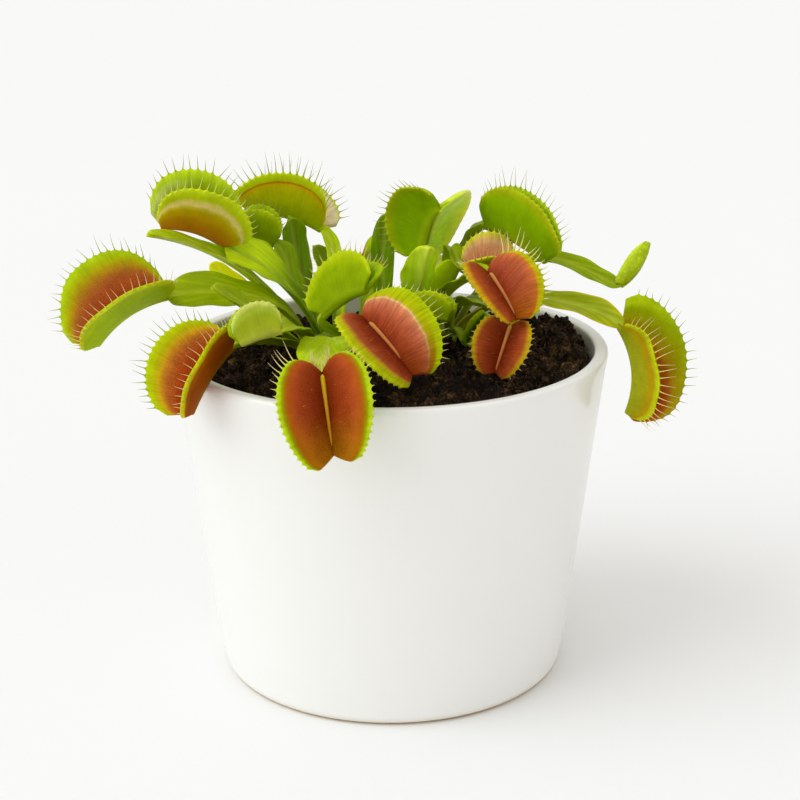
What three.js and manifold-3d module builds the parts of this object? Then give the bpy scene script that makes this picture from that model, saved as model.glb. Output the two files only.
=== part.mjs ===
// A Venus flytrap growing in a white glazed pot, in millimetres, +Z up.
// The origin is the centre of the pot's base. +X is to the right and -Y towards the front.
// Two rhizomes sit in the peat. A leaf is a winged stalk, and most end in a trap of two lobes with spines.
import * as THREE from "three";
import { mergeVertices } from "three/addons/utils/BufferGeometryUtils.js";
import Module from "manifold-3d";

const wasm = await Module();
wasm.setup();

// Driving dimensions of the pot
const POT = {
  topRadius: 55,
  baseRadius: 44.4,
  height: 85,
  wall: 3.6,
  floor: 5,
  baseCorner: 3.2,
  sides: 36,
};

// Driving dimensions of the peat: its level at the wall, its mound in the middle, and two heaps at the right
const PEAT = { edgeLevel: 79.5, moundRise: 2.5, rings: 9, sides: 36, lump: 0.9 };
const HEAPS = [
  { x: 42, y: 14, rise: 4.2, reach: 14 },
  { x: 45, y: -8, rise: 3.2, reach: 10 },
];

// Clearance between pieces that touch
const GAP = 0.3;

// The two rhizomes: where each one stands and its size. The top is a low dome that carries the leaves.
const RHIZOME = { radius: 10, domeTop: 87.5, shoulder: 83.5, bottom: 64, tipRadius: 4, sides: 20 };
const CROWNS = {
  left: new THREE.Vector2(-13, 5),
  right: new THREE.Vector2(8, 15),
};

// A leaf's stalk: how thick it is, how wide at its root and at its neck, and how far along it is widest
const STALK = {
  rootWidth: 3.2,
  rootShare: 0.5,
  neckWidth: 1.9,
  widestAt: 0.68,
  edgeThickness: 0.7,
  ribThickness: 1.7,
  steps: 8,
  neckReach: 5,
  tipWidth: 0.9,
};

// A trap's lobes: their thickness, how far they reach past the hinge, and the turned band along the margin
const LOBE = {
  hingeThickness: 1.7,
  padThickness: 1.3,
  marginThickness: 0.7,
  overhang: 0.16,
  endAngle: 17,
  endReach: 0.25,
  squareness: 0.8,
  bandStart: 0.84,
  bandTurn: 22,
};

// Across a lobe, the shares of its height at which the section has a point
const LOBE_STATIONS = [0, 0.42, LOBE.bandStart, 1];

// The leaves. Angles are in degrees: an azimuth of 0 is +X and 90 is +Y, and hinge and mouth are
// [azimuth, elevation]. root is [azimuth, distance] on the rhizome, bow is a point half way along the stalk,
// and joint is where the trap starts. blade is the stalk's greatest width, fold lifts its edges and bank
// turns its face. gape is the angle between a lobe and the mouth's axis, at the hinge and at the margin.
// arch is how far the hinge bends away from the mouth, and skew shifts the two lobes apart along it.
// heel and toe draw the lobes in at the stalk's end and at the far end, over a share endReach of the hinge.
// overhang is how far the margins reach past the hinge's ends, and spread scales a lobe's height. Where one
// of these has two values, they are for the lobe on side -1 and the one on side 1.
const LEAVES = [
  {
    name: "leaf_far_left", crown: "left", root: [182, 8.6], bow: [-37, 0, 98], joint: [-56, -2, 98.4],
    blade: 12, fold: 12, bank: -50,
    trap: {
      length: 22, height: 20.5, hinge: [196, -10], mouth: [226, 78], gape: [60, 44], arch: 46,
      spines: 8, spine: 5.5, skew: 1.5, heel: 0.5,
    },
  },
  {
    name: "leaf_low_left", crown: "left", root: [227, 8.6], bow: [-29, -13, 90], joint: [-38, -26.5, 92],
    blade: 5, fold: 18, bank: 0,
    trap: {
      length: 19.5, height: 14.5, hinge: [229, -29], mouth: [217, 60], gape: [42, 21], arch: 27,
      spines: 8, spine: 4.5, skew: 0,
    },
  },
  {
    name: "leaf_left_inner", crown: "left", root: [252, 8.6], bow: [-22,-19,94.5],
    joint: [-25.2,-37,99.3], blade: 6, fold: 15, bank: -30,
    trap: {
      length: 10, height: 8, hinge: [182, -15], mouth: [80, 75], gape: [8, -2], arch: 8,
      spines: 5, spine: 1.2, skew: 0.6, heel: 0.5,
    },
  },
  {
    name: "leaf_upper_left", crown: "left", root: [165, 4.5], bow: [-31, 6, 103], joint: [-41.5, 8, 109],
    blade: 12, fold: 20, bank: -50,
    trap: {
      length: 17.5, height: 15, hinge: [191, 40], mouth: [351, 46], gape: [33, 2], arch: 44,
      spines: 8, spine: 4.5, skew: 1.5, toe: 0.35,
    },
  },
  {
    name: "leaf_upper_middle", crown: "left", root: [80, 4.5], bow: [-14, 21, 100], joint: [-18.3, 30, 108.4],
    blade: 4.5, fold: 25, bank: 0,
    trap: {
      length: 19.3, height: 13, hinge: [191, 33], mouth: [30, 55], gape: [52, 11], arch: 34,
      spines: 8, spine: 5, skew: -3.5, heel: 0.25,
    },
  },
  {
    name: "leaf_upper_small", crown: "left", root: [120, 5], bow: [-26, 14, 100], joint: [-30, 17, 107.3],
    blade: 7, fold: 20, bank: -30,
    trap: {
      length: 9, height: 9, hinge: [183, 22], mouth: [352, 67], gape: [30, -10], arch: 18,
      spines: 5, spine: 3, skew: 0,
    },
  },
  {
    name: "leaf_centre", crown: "left", root: [290, 4.5], bow: [-13.5, -2, 89], joint: [-16.5, -6, 94],
    blade: 4, fold: 15, bank: 0,
    trap: {
      length: 14.5, height: 13, hinge: [357, 45], mouth: [100, 28], gape: [20, 2], arch: 40,
      spines: 8, spine: 4.5, skew: -0.8,
    },
  },
  {
    name: "leaf_centre_front", crown: "left", root: [310, 8.6], bow: [-5, -12, 92], joint: [-6.5, -26, 98.5],
    blade: 5, fold: 15, bank: 0,
    trap: {
      length: 19.5, height: 13.8, hinge: [310, -21], mouth: [263, 61], gape: [33, 63], arch: 29,
      spines: 8, spine: 2.5, skew: 0, heel: [0.55, 0.1],
    },
  },
  {
    name: "leaf_front", crown: "left", root: [272, 8.6], bow: [-15, -24, 92], joint: [-15, -50.5, 92],
    blade: 13, fold: 12, bank: 0,
    trap: {
      length: 19.4, height: 14.5, hinge: [278, -33], mouth: [262, 57], gape: [26, 58], arch: 36,
      spines: 8, spine: 1.6, skew: [0.6, 0.3], heel: [0, 0.1], toe: [-0.06, -0.12],
    },
  },
  {
    name: "leaf_right_centre", crown: "right", root: [296, 8.6], bow: [16, 0, 100], joint: [24, -10, 105],
    blade: 7, fold: 20, bank: 30,
    trap: {
      length: 16.5, height: 11.7, hinge: [293, -17], mouth: [265, 71], gape: [30, 60], arch: 24,
      spines: 8, spine: 4.5, skew: 0,
    },
  },
  {
    name: "leaf_right_front", crown: "right", root: [337, 8.6], bow: [22, -4, 97], joint: [29.5, -18, 93.7],
    blade: 7, fold: 20, bank: 0,
    trap: {
      length: 12.2, height: 9, hinge: [243, -42], mouth: [262, 49], gape: [32, 61], arch: 15,
      spines: 7, spine: 1.6, skew: 0,
    },
  },
  {
    name: "leaf_back_centre", crown: "right", root: [150, 4.5], bow: [5, 16, 95], joint: [8.3, 13.2, 105.2],
    blade: 4, fold: 20, bank: 0,
    trap: {
      length: 16, height: 12.5, hinge: [25, 78], mouth: [105, -2], gape: [42, 60], arch: 62,
      spines: 8, spine: 3.5, skew: [0, -2], toe: [0, 0.5], endReach: 0.5, overhang: [0.16, 0.3],
      spread: [1, 1.07],
    },
  },
  {
    name: "leaf_back_right", crown: "right", root: [50, 4.5], bow: [18, 22, 103], joint: [25, 14.7, 112.2],
    blade: 6, fold: 20, bank: 0,
    trap: {
      length: 21.5, height: 13.6, hinge: [314, -8], mouth: [292, 82], gape: [19, -21], arch: 18,
      spines: 8, spine: 5, skew: 0,
    },
  },
  {
    name: "leaf_middle_right", crown: "right", root: [350, 4.5], bow: [16, 12, 107], joint: [19.5, 6, 102.7],
    blade: 5, fold: 20, bank: 0,
    trap: {
      length: 10.5, height: 10, hinge: [6, 3], mouth: [271, 56], gape: [32, 11], arch: 18,
      spines: 6, spine: 3.5, skew: 0,
    },
  },
  {
    name: "leaf_long_right", crown: "right", root: [20, 8.6], bow: [43, 15, 103], joint: [59.1, 9, 98],
    blade: 6, fold: 15, bank: 45,
    trap: {
      length: 12.8, height: 3.8, hinge: [0, 34], mouth: [160, 60], gape: [50, -30], arch: -50,
      spines: 0, spine: 0, skew: 0, heel: 0, toe: 0.8, endReach: 0.55,
    },
  },
  {
    name: "leaf_far_right", crown: "right", root: [357, 8.6], bow: [40, 3, 95.5], joint: [57.5, -9, 91.3],
    blade: 7.5, fold: 15, bank: 45,
    trap: {
      length: 23, height: 16.3, hinge: [328, -54], mouth: [341, 37], gape: [50, 36], arch: 56,
      spines: 8, spine: 4, skew: [-0.5, 1.6], heel: [0.5, 0], toe: [0.2, 0.5], overhang: [0.02, 0.24],
      spread: [0.82, 0.94],
    },
  },
  {
    name: "leaf_low_right", crown: "right", root: [317, 8.6], bow: [18, 5, 86], joint: [20.5, 2, 85.5],
    blade: 3.5, fold: 15, bank: 0,
    trap: {
      length: 8, height: 5.5, hinge: [330, 60], mouth: [270, 30], gape: [40, -10], arch: 10,
      spines: 5, spine: 1.2, skew: 0,
    },
  },
  {
    name: "leaf_small_right", crown: "right", root: [330, 3], bow: [12.5, 10.5, 92], joint: [14, 9, 94],
    blade: 3.5, fold: 15, bank: 0,
    trap: {
      length: 9, height: 5.5, hinge: [20, 75], mouth: [150, 20], gape: [46, -20], arch: 15,
      spines: 0, spine: 0, skew: 0,
    },
  },
  {
    name: "leaf_small_centre", crown: "right", root: [262, 8.6], bow: [6, 2, 90], joint: [6, -5, 93],
    blade: 4, fold: 15, bank: 0,
    trap: {
      length: 9.5, height: 7, hinge: [340, 15], mouth: [60, 70], gape: [46, 0], arch: 20,
      spines: 5, spine: 2, skew: 0,
    },
  },
  {
    name: "leaf_young_spoon", crown: "right", root: [240, 4.5], bow: [7, 5, 98], joint: [9.5, 1, 110],
    blade: 9.6, fold: 15, bank: 0,
  },
  {
    name: "leaf_young_back", crown: "right", root: [175, 8.6], bow: [-2, 20, 98], joint: [-1, 23, 113.5],
    blade: 6.5, fold: 15, bank: 0,
  },
  {
    name: "leaf_back_blade", crown: "left", root: [130, 8.6], bow: [-24, 21, 101], joint: [-25.5, 21, 113],
    blade: 8, fold: 15, bank: 0,
  },
  {
    name: "leaf_back_low", crown: "left", root: [95, 8.6], bow: [-15, 25, 94], joint: [-20, 28, 104],
    blade: 6, fold: 15, bank: 0,
  },
  {
    name: "leaf_under_left", crown: "left", root: [163, 8.6], bow: [-38, 8, 103.2], joint: [-60, 0, 114.2],
    blade: 5.5, fold: 15, bank: -20,
  },
  {
    name: "leaf_left_tip", crown: "left", root: [200, 8.6], bow: [-32, -7, 94.5], joint: [-43, -12, 103.5],
    blade: 6, fold: 15, bank: -50,
  },
  {
    name: "leaf_left_bud", crown: "left", root: [144, 8.6], bow: [-36, 16, 93], joint: [-46.7, 19, 101.7],
    blade: 6, fold: 10, bank: -50,
  },
  {
    name: "leaf_rear_left", crown: "left", root: [50, 8.6], bow: [-6, 28, 97], joint: [-8, 38, 96],
    blade: 8, fold: 15, bank: 0,
    trap: {
      length: 16, height: 12, hinge: [100, -25], mouth: [130, 60], gape: [36, 40], arch: 30,
      spines: 8, spine: 4, skew: 0,
    },
  },
  {
    name: "leaf_rear_right", crown: "right", root: [95, 8.6], bow: [13, 36, 97], joint: [20, 47, 94],
    blade: 8, fold: 15, bank: 0,
    trap: {
      length: 15, height: 11.5, hinge: [60, -30], mouth: [80, 55], gape: [32, 45], arch: 30,
      spines: 8, spine: 4, skew: 0,
    },
  },
];

const radians = THREE.MathUtils.degToRad;

/** A unit vector from an azimuth and an elevation in degrees. */
function direction(azimuth, elevation) {
  const a = radians(azimuth);
  const e = radians(elevation);
  return new THREE.Vector3(Math.cos(e) * Math.cos(a), Math.cos(e) * Math.sin(a), Math.sin(e));
}

/** The vector's part that is square to a unit axis, made a unit vector. */
function squareTo(vector, axis) {
  return vector.clone().addScaledVector(axis, -vector.dot(axis)).normalize();
}

/** Turns a closed list of points and triangles into a manifold solid. */
function solidOf(points, triangles) {
  const vertProperties = new Float32Array(points.flatMap((p) => [p.x, p.y, p.z]));
  return new wasm.Manifold(
    new wasm.Mesh({ numProp: 3, vertProperties, triVerts: new Uint32Array(triangles.flat()) }),
  );
}

/**
 * Joins rings of points into a closed tube. A ring goes out over one face and back along the other, and
 * tips gives, for some rows, a point that the far edge is drawn out to.
 */
function tubeOf(rings, flip = false, tips = {}) {
  const size = rings[0].length;
  const points = rings.flat();
  const triangles = [];
  for (let i = 0; i + 1 < rings.length; i++) {
    for (let k = 0; k < size; k++) {
      const a = i * size + k;
      const b = i * size + ((k + 1) % size);
      if (k === size / 2 - 1 && tips[i]) {
        const tip = points.push(tips[i]) - 1;
        triangles.push([a, a + size, tip], [a + size, b + size, tip], [b + size, b, tip], [b, a, tip]);
      } else {
        triangles.push([a, a + size, b], [b, a + size, b + size]);
      }
    }
  }
  const last = (rings.length - 1) * size;
  for (let j = 0; j < size / 2 - 1; j++) {
    for (const [p, q, r] of [[j, j + 1, size - 1 - j], [j + 1, size - 2 - j, size - 1 - j]]) {
      triangles.push([p, q, r], [p + last, r + last, q + last]);
    }
  }
  return solidOf(points, flip ? triangles.map(([p, q, r]) => [p, r, q]) : triangles);
}

/** Turns a three.js geometry into a manifold solid. */
function solidOfGeometry(geometry) {
  const bare = geometry.clone();
  bare.deleteAttribute("normal");
  bare.deleteAttribute("uv");
  const merged = mergeVertices(bare, 1e-4);
  return new wasm.Manifold(
    new wasm.Mesh({
      numProp: 3,
      vertProperties: merged.attributes.position.array,
      triVerts: new Uint32Array(merged.index.array),
    }),
  );
}

/** The largest body of a solid: a cut can leave loose scraps beside it. */
function largestBody(solid) {
  return solid.decompose().reduce((a, b) => (a.volume() > b.volume() ? a : b));
}

/** A named mesh of a solid. */
function meshOf(name, solid, material) {
  const made = solid.getMesh();
  const geometry = new THREE.BufferGeometry();
  geometry.setAttribute("position", new THREE.BufferAttribute(made.vertProperties, made.numProp));
  geometry.setIndex(new THREE.BufferAttribute(made.triVerts, 1));
  geometry.computeVertexNormals();
  const mesh = new THREE.Mesh(geometry, material);
  mesh.name = name;
  return mesh;
}

/** Turns a profile of [radius, height] pairs about the Z axis. */
function turned(profile, sides) {
  const points = profile.map(([r, z]) => new THREE.Vector2(r, z));
  return new THREE.LatheGeometry(points, sides).rotateX(Math.PI / 2);
}

// The pot

/** The pot's outer radius at a height. */
function potRadius(z) {
  return POT.baseRadius + ((POT.topRadius - POT.baseRadius) * z) / POT.height;
}

/** The glazed pot: a tapered wall with a rounded rim and base corner. */
function potSolid() {
  const lip = POT.wall / 2;
  const corner = POT.baseCorner;
  const arc = (r, z, radius, from, to, steps) =>
    Array.from({ length: steps + 1 }, (_, i) => {
      const a = radians(from + ((to - from) * i) / steps);
      return [r + radius * Math.cos(a), z + radius * Math.sin(a)];
    });
  const profile = [
    [0, 0],
    ...arc(POT.baseRadius - corner, corner, corner, -90, 0, 3),
    ...arc(potRadius(POT.height) - lip, POT.height - lip, lip, 0, 180, 6),
    [potRadius(POT.floor) - POT.wall, POT.floor],
    [0, POT.floor],
  ];
  return solidOfGeometry(turned(profile, POT.sides));
}

// The peat

/** The height of the peat's surface, with lumps from a few crossing waves. */
function peatHeight(x, y) {
  const share = Math.min(1, Math.hypot(x, y) / (POT.topRadius - POT.wall));
  const mound = PEAT.moundRise * (1 - share * share);
  const waves =
    Math.sin(0.31 * x + 1.3) * Math.cos(0.27 * y - 0.4) +
    0.7 * Math.sin(0.53 * x - 0.38 * y + 2.1) +
    0.5 * Math.cos(0.81 * y + 0.44 * x);
  let heaped = 0;
  for (const heap of HEAPS) {
    heaped += heap.rise * Math.exp(-(((x - heap.x) ** 2 + (y - heap.y) ** 2) / heap.reach ** 2));
  }
  return PEAT.edgeLevel + mound + heaped + PEAT.lump * waves;
}

/** The peat: a plug that fills the pot, with an uneven top. */
function peatSolid() {
  const edge = (z) => potRadius(z) - POT.wall - GAP;
  const bottomZ = POT.floor + GAP;
  const points = [new THREE.Vector3(0, 0, peatHeight(0, 0))];
  const triangles = [];
  const at = (ring, k) => 1 + (ring - 1) * PEAT.sides + (k % PEAT.sides);
  for (let ring = 1; ring <= PEAT.rings; ring++) {
    for (let k = 0; k < PEAT.sides; k++) {
      const a = (2 * Math.PI * (k + (ring % 2) / 2)) / PEAT.sides;
      const r = (edge(PEAT.edgeLevel - 3) * ring) / PEAT.rings;
      const x = r * Math.cos(a);
      const y = r * Math.sin(a);
      points.push(new THREE.Vector3(x, y, peatHeight(x, y)));
    }
  }
  const bottomStart = points.length;
  for (let k = 0; k < PEAT.sides; k++) {
    const a = (2 * Math.PI * (k + (PEAT.rings % 2) / 2)) / PEAT.sides;
    points.push(new THREE.Vector3(edge(bottomZ) * Math.cos(a), edge(bottomZ) * Math.sin(a), bottomZ));
  }
  const bottomCentre = points.push(new THREE.Vector3(0, 0, bottomZ)) - 1;
  for (let k = 0; k < PEAT.sides; k++) {
    triangles.push([0, at(1, k), at(1, k + 1)]);
    for (let ring = 1; ring < PEAT.rings; ring++) {
      const shift = ring % 2;
      triangles.push([at(ring, k), at(ring + 1, k + shift), at(ring, k + 1)]);
      triangles.push([at(ring, k + 1), at(ring + 1, k + shift), at(ring + 1, k + shift + 1)]);
    }
    const low = bottomStart + k;
    const lowNext = bottomStart + ((k + 1) % PEAT.sides);
    triangles.push([at(PEAT.rings, k), low, at(PEAT.rings, k + 1)]);
    triangles.push([at(PEAT.rings, k + 1), low, lowNext]);
    triangles.push([bottomCentre, lowNext, low]);
  }
  return solidOf(points, triangles);
}

// The rhizomes

/** The height of a rhizome's dome at a distance from its axis. */
function domeHeight(distance) {
  const share = Math.min(1, distance / RHIZOME.radius);
  return RHIZOME.shoulder + (RHIZOME.domeTop - RHIZOME.shoulder) * (1 - share * share);
}

/** A rhizome, or, with some growth, the pocket that it sits in. */
function rhizomeSolid(crown, growth, top) {
  const radius = RHIZOME.radius + growth;
  const profile = [
    [0, RHIZOME.bottom - growth],
    [RHIZOME.tipRadius + growth, RHIZOME.bottom - growth],
    [radius, RHIZOME.shoulder - 6],
  ];
  if (top === undefined) {
    for (const share of [1, 0.8, 0.6, 0.35]) {
      profile.push([radius * share, domeHeight(RHIZOME.radius * share) + growth]);
    }
    profile.push([0, RHIZOME.domeTop + growth]);
  } else {
    profile.push([radius, top], [0, top]);
  }
  return solidOfGeometry(turned(profile, RHIZOME.sides)).translate([crown.x, crown.y, 0]);
}

// The leaves

/** The stalk's centre line: from the root through the bow to the joint, arriving along the hinge. */
function stalkCurve(leaf) {
  const crown = CROWNS[leaf.crown];
  const [azimuth, distance] = leaf.root;
  const out = direction(azimuth, 0);
  const root = new THREE.Vector3(crown.x, crown.y, domeHeight(distance) - 1.2).addScaledVector(out, distance);
  const joint = new THREE.Vector3(...leaf.joint);
  const bow = new THREE.Vector3(...leaf.bow);
  if (!leaf.trap) {
    const control = bow.clone().multiplyScalar(2).addScaledVector(root, -0.5).addScaledVector(joint, -0.5);
    return new THREE.QuadraticBezierCurve3(root, control, joint);
  }
  const arrive = joint.clone().addScaledVector(direction(...leaf.trap.hinge), -STALK.neckReach);
  const leave = bow
    .clone()
    .multiplyScalar(8)
    .sub(root)
    .addScaledVector(arrive, -3)
    .sub(joint)
    .multiplyScalar(1 / 3);
  return new THREE.CubicBezierCurve3(root, leave, arrive, joint);
}

/** The stalk's width at a share of its length. */
function stalkWidth(leaf, t) {
  const endWidth = leaf.trap ? STALK.neckWidth : STALK.tipWidth;
  const rootWidth = Math.min(STALK.rootWidth, leaf.blade * STALK.rootShare);
  if (t < STALK.widestAt) {
    const s = t / STALK.widestAt;
    return rootWidth + (leaf.blade - rootWidth) * s * s * (3 - 2 * s);
  }
  const s = (t - STALK.widestAt) / (1 - STALK.widestAt);
  const share = leaf.trap ? Math.max(0, 1 - s ** 2) : Math.sqrt(Math.max(0, 1 - s ** 2.2));
  return endWidth + (leaf.blade - endWidth) * share;
}

/** The winged stalk: a folded blade with a rib under it. */
function stalkSolid(leaf) {
  const curve = stalkCurve(leaf);
  const start = curve.getPoint(0);
  const end = curve.getPoint(1);
  const chord = Math.atan2(end.y - start.y, end.x - start.x);
  const across = new THREE.Vector3(-Math.sin(chord), Math.cos(chord), 0);
  const edge = STALK.edgeThickness / 2;
  const rib = STALK.ribThickness - edge;
  const rings = [];
  for (let i = 0; i <= STALK.steps; i++) {
    const t = i / STALK.steps;
    const centre = curve.getPoint(t);
    const tangent = curve.getTangent(t);
    const side = squareTo(across, tangent).applyAxisAngle(tangent, radians(leaf.bank) * t);
    const face = tangent.clone().cross(side);
    const half = stalkWidth(leaf, t) / 2;
    const reach = half * Math.cos(radians(leaf.fold));
    const lift = half * Math.sin(radians(leaf.fold));
    const section = [
      [-reach, lift + edge],
      [0, edge],
      [reach, lift + edge],
      [reach, lift - edge],
      [0, -rib],
      [-reach, lift - edge],
    ];
    rings.push(section.map(([y, z]) => centre.clone().addScaledVector(side, y).addScaledVector(face, z)));
  }
  return tubeOf(rings);
}

/** The trap's own frame: its start, hinge direction, mouth direction and side. */
function trapFrame(leaf) {
  const hinge = direction(...leaf.trap.hinge);
  const mouth = squareTo(direction(...leaf.trap.mouth), hinge);
  return { start: new THREE.Vector3(...leaf.joint), hinge, mouth, side: mouth.clone().cross(hinge) };
}

/** A trap's value for the lobe on one side: some values are a pair, with one for each side. */
function valueOn(side, value) {
  if (Array.isArray(value)) return value[side < 0 ? 0 : 1];
  return value ?? 0;
}

/** A point of the lobes' middle surface: u runs along the hinge, 0 to 1, and w across it, -1 to 1. */
function trapPoint(trap, frame, u, w) {
  const { hinge, mouth } = frame;
  const bend = radians(trap.arch) * u;
  const radius = trap.length / radians(trap.arch);
  const point = frame.start
    .clone()
    .addScaledVector(hinge, radius * Math.sin(bend))
    .addScaledVector(mouth, -radius * (1 - Math.cos(bend)));
  const along = hinge.clone().multiplyScalar(Math.cos(bend)).addScaledVector(mouth, -Math.sin(bend));
  const open = mouth.clone().multiplyScalar(Math.cos(bend)).addScaledVector(hinge, Math.sin(bend));
  const v = Math.abs(w);
  const turn = Math.PI - radians(LOBE.endAngle) - (Math.PI - 2 * radians(LOBE.endAngle)) * u;
  const shift = Math.sign(w) * valueOn(w, trap.skew);
  const overhang = valueOn(w, trap.overhang ?? LOBE.overhang);
  const marginAlong = trap.length * (0.5 + (0.5 + overhang) * Math.cos(turn)) - shift;
  const endReach = trap.endReach ?? LOBE.endReach;
  const heel = valueOn(w, trap.heel) * Math.max(0, 1 - u / endReach) ** 2;
  const toe = valueOn(w, trap.toe) * Math.max(0, 1 - (1 - u) / endReach) ** 2;
  const scale = (1 - heel) * (1 - toe);
  const height = scale * trap.height * valueOn(w, trap.spread ?? 1) * Math.sin(turn) ** LOBE.squareness;
  const [first, last] = trap.gape.map(radians);
  const swing = last - first || 1e-6;
  const body = Math.min(v, LOBE.bandStart);
  let out = (Math.cos(first) - Math.cos(first + swing * body)) / swing;
  let up = (Math.sin(first + swing * body) - Math.sin(first)) / swing;
  if (v > LOBE.bandStart) {
    const band = first + swing * v + radians(LOBE.bandTurn);
    out += (v - LOBE.bandStart) * Math.sin(band);
    up += (v - LOBE.bandStart) * Math.cos(band);
  }
  return point
    .addScaledVector(along, (marginAlong - trap.length * u) * scale * v)
    .addScaledVector(frame.side, Math.sign(w) * height * out)
    .addScaledVector(open, height * up);
}

/** The thickness of a lobe at a share of its height. */
function lobeThickness(v) {
  const { hingeThickness, padThickness, marginThickness, bandStart } = LOBE;
  if (v < bandStart) return THREE.MathUtils.lerp(hingeThickness, padThickness, v / bandStart);
  return THREE.MathUtils.lerp(padThickness, marginThickness, (v - bandStart) / (1 - bandStart));
}

/** The shares of the hinge's length where a lobe has a row of points: a narrow pair for each spine. */
function lobeRows(trap) {
  const spines = Math.max(trap.spines, 4);
  const rows = [0];
  for (let k = 0; k < spines; k++) {
    rows.push((k + 0.62) / (spines + 0.3), (k + 0.98) / (spines + 0.3));
  }
  return [...rows, 1];
}

/** One lobe with its spines, closed along the hinge, where it meets the other one. side is 1 or -1. */
function lobeSolid(trap, frame, side) {
  const rows = lobeRows(trap);
  const nudge = 1e-3;
  const rings = rows.map((u) => {
    const inner = [];
    const outer = [];
    for (const v of LOBE_STATIONS) {
      const w = side * v;
      const point = trapPoint(trap, frame, u, w);
      const alongU = trapPoint(trap, frame, u + nudge, w).sub(trapPoint(trap, frame, u - nudge, w));
      const alongW = trapPoint(trap, frame, u, w + nudge).sub(trapPoint(trap, frame, u, w - nudge));
      const normal = alongU.cross(alongW).normalize();
      const half = lobeThickness(v) / 2;
      inner.push(point.clone().addScaledVector(normal, half));
      outer.unshift(point.clone().addScaledVector(normal, -half));
    }
    return [...inner, ...outer];
  });
  const tips = {};
  for (let i = 1; trap.spines > 0 && i + 2 < rows.length; i += 2) {
    const middle = (rows[i] + rows[i + 1]) / 2;
    const root = trapPoint(trap, frame, middle, side);
    const lean = root.clone().sub(trapPoint(trap, frame, middle, side * 0.93)).normalize();
    const taper = 0.55 + 0.45 * Math.sin(Math.PI * middle);
    tips[i] = root.addScaledVector(lean, trap.spine * taper);
  }
  return tubeOf(rings, side < 0, tips);
}

/** Both lobes of a trap with their spines. */
function trapSolid(leaf) {
  const frame = trapFrame(leaf);
  return lobeSolid(leaf.trap, frame, 1).add(lobeSolid(leaf.trap, frame, -1));
}

/** A small knuckle where the stalk's neck meets the hinge. */
function knuckleSolid(leaf) {
  const ball = new THREE.IcosahedronGeometry(1.4, 0);
  const { start, hinge, mouth } = trapFrame(leaf);
  const centre = start.addScaledVector(hinge, 0.55).addScaledVector(mouth, -0.3);
  return solidOfGeometry(ball.translate(centre.x, centre.y, centre.z));
}

/** A whole leaf: its stalk, seated on the rhizome, with its trap. */
function leafSolid(leaf, seats) {
  let solid = stalkSolid(leaf);
  if (leaf.trap) solid = solid.add(knuckleSolid(leaf)).add(trapSolid(leaf));
  return largestBody(solid.subtract(seats[leaf.crown]).simplify(0.02));
}

// The assembly

const materials = {
  glaze: new THREE.MeshStandardMaterial({ color: 0xf3f2ee, roughness: 0.25, metalness: 0 }),
  peat: new THREE.MeshStandardMaterial({ color: 0x2b1b12, roughness: 1, metalness: 0 }),
  rhizome: new THREE.MeshStandardMaterial({ color: 0xb9c487, roughness: 0.6, metalness: 0 }),
  leaf: new THREE.MeshStandardMaterial({ color: 0x8fb51c, roughness: 0.45, metalness: 0 }),
};

const plant = new THREE.Group();
plant.add(meshOf("pot", potSolid(), materials.glaze));

let peat = peatSolid();
const seats = {};
for (const [name, crown] of Object.entries(CROWNS)) {
  peat = peat.subtract(rhizomeSolid(crown, GAP, POT.height + 10));
  seats[name] = rhizomeSolid(crown, GAP);
  plant.add(meshOf("rhizome_" + name, rhizomeSolid(crown, 0), materials.rhizome));
}
plant.add(meshOf("peat", largestBody(peat), materials.peat));

for (const leaf of LEAVES) {
  plant.add(meshOf(leaf.name, leafSolid(leaf, seats), materials.leaf));
}

export default plant;
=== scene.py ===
"""A Venus flytrap in a white glazed pot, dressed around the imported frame.

Sizes in the plans and forms are millimetres in the frame of the pot: the origin is the middle of its
foot, +X is to the right, -Y is the front and +Z is up. MeshDraft turns them into metres.
"""

import logging
import math
from collections.abc import Sequence
from dataclasses import dataclass, field
from enum import Enum
from typing import ClassVar

import bpy
import numpy as np
from mathutils import Matrix, Vector, kdtree, noise


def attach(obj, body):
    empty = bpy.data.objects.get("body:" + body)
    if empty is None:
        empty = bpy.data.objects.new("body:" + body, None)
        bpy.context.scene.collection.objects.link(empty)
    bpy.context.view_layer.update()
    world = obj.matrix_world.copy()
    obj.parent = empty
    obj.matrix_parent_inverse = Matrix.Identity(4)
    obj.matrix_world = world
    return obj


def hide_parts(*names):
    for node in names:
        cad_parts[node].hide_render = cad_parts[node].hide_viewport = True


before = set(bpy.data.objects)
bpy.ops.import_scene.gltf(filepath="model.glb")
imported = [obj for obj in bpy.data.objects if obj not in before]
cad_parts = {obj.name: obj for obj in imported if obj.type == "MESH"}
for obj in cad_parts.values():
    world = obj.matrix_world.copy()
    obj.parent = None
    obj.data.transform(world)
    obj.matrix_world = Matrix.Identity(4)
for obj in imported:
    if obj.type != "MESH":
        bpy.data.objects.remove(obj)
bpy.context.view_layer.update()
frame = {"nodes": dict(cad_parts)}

MM = 0.001
BODY = "root"
SEED = 20

Array = np.ndarray
log = logging.getLogger("flytrap")


# Directions and curves


def unit(vectors: Array) -> Array:
    """The vectors, each made one long."""
    return vectors / np.maximum(np.linalg.norm(vectors, axis=-1, keepdims=True), 1e-12)


def bearing(azimuth: float, elevation: float) -> Array:
    """A unit vector from an azimuth (0 is +X, 90 is +Y) and an elevation, in degrees."""
    a, e = math.radians(azimuth), math.radians(elevation)
    return np.array([math.cos(e) * math.cos(a), math.cos(e) * math.sin(a), math.sin(e)])


def square_to(vectors: Array, axis: Array) -> Array:
    """The part of each vector that is square to a unit axis, made one long."""
    return unit(vectors - np.sum(vectors * axis, axis=-1, keepdims=True) * axis)


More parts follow.
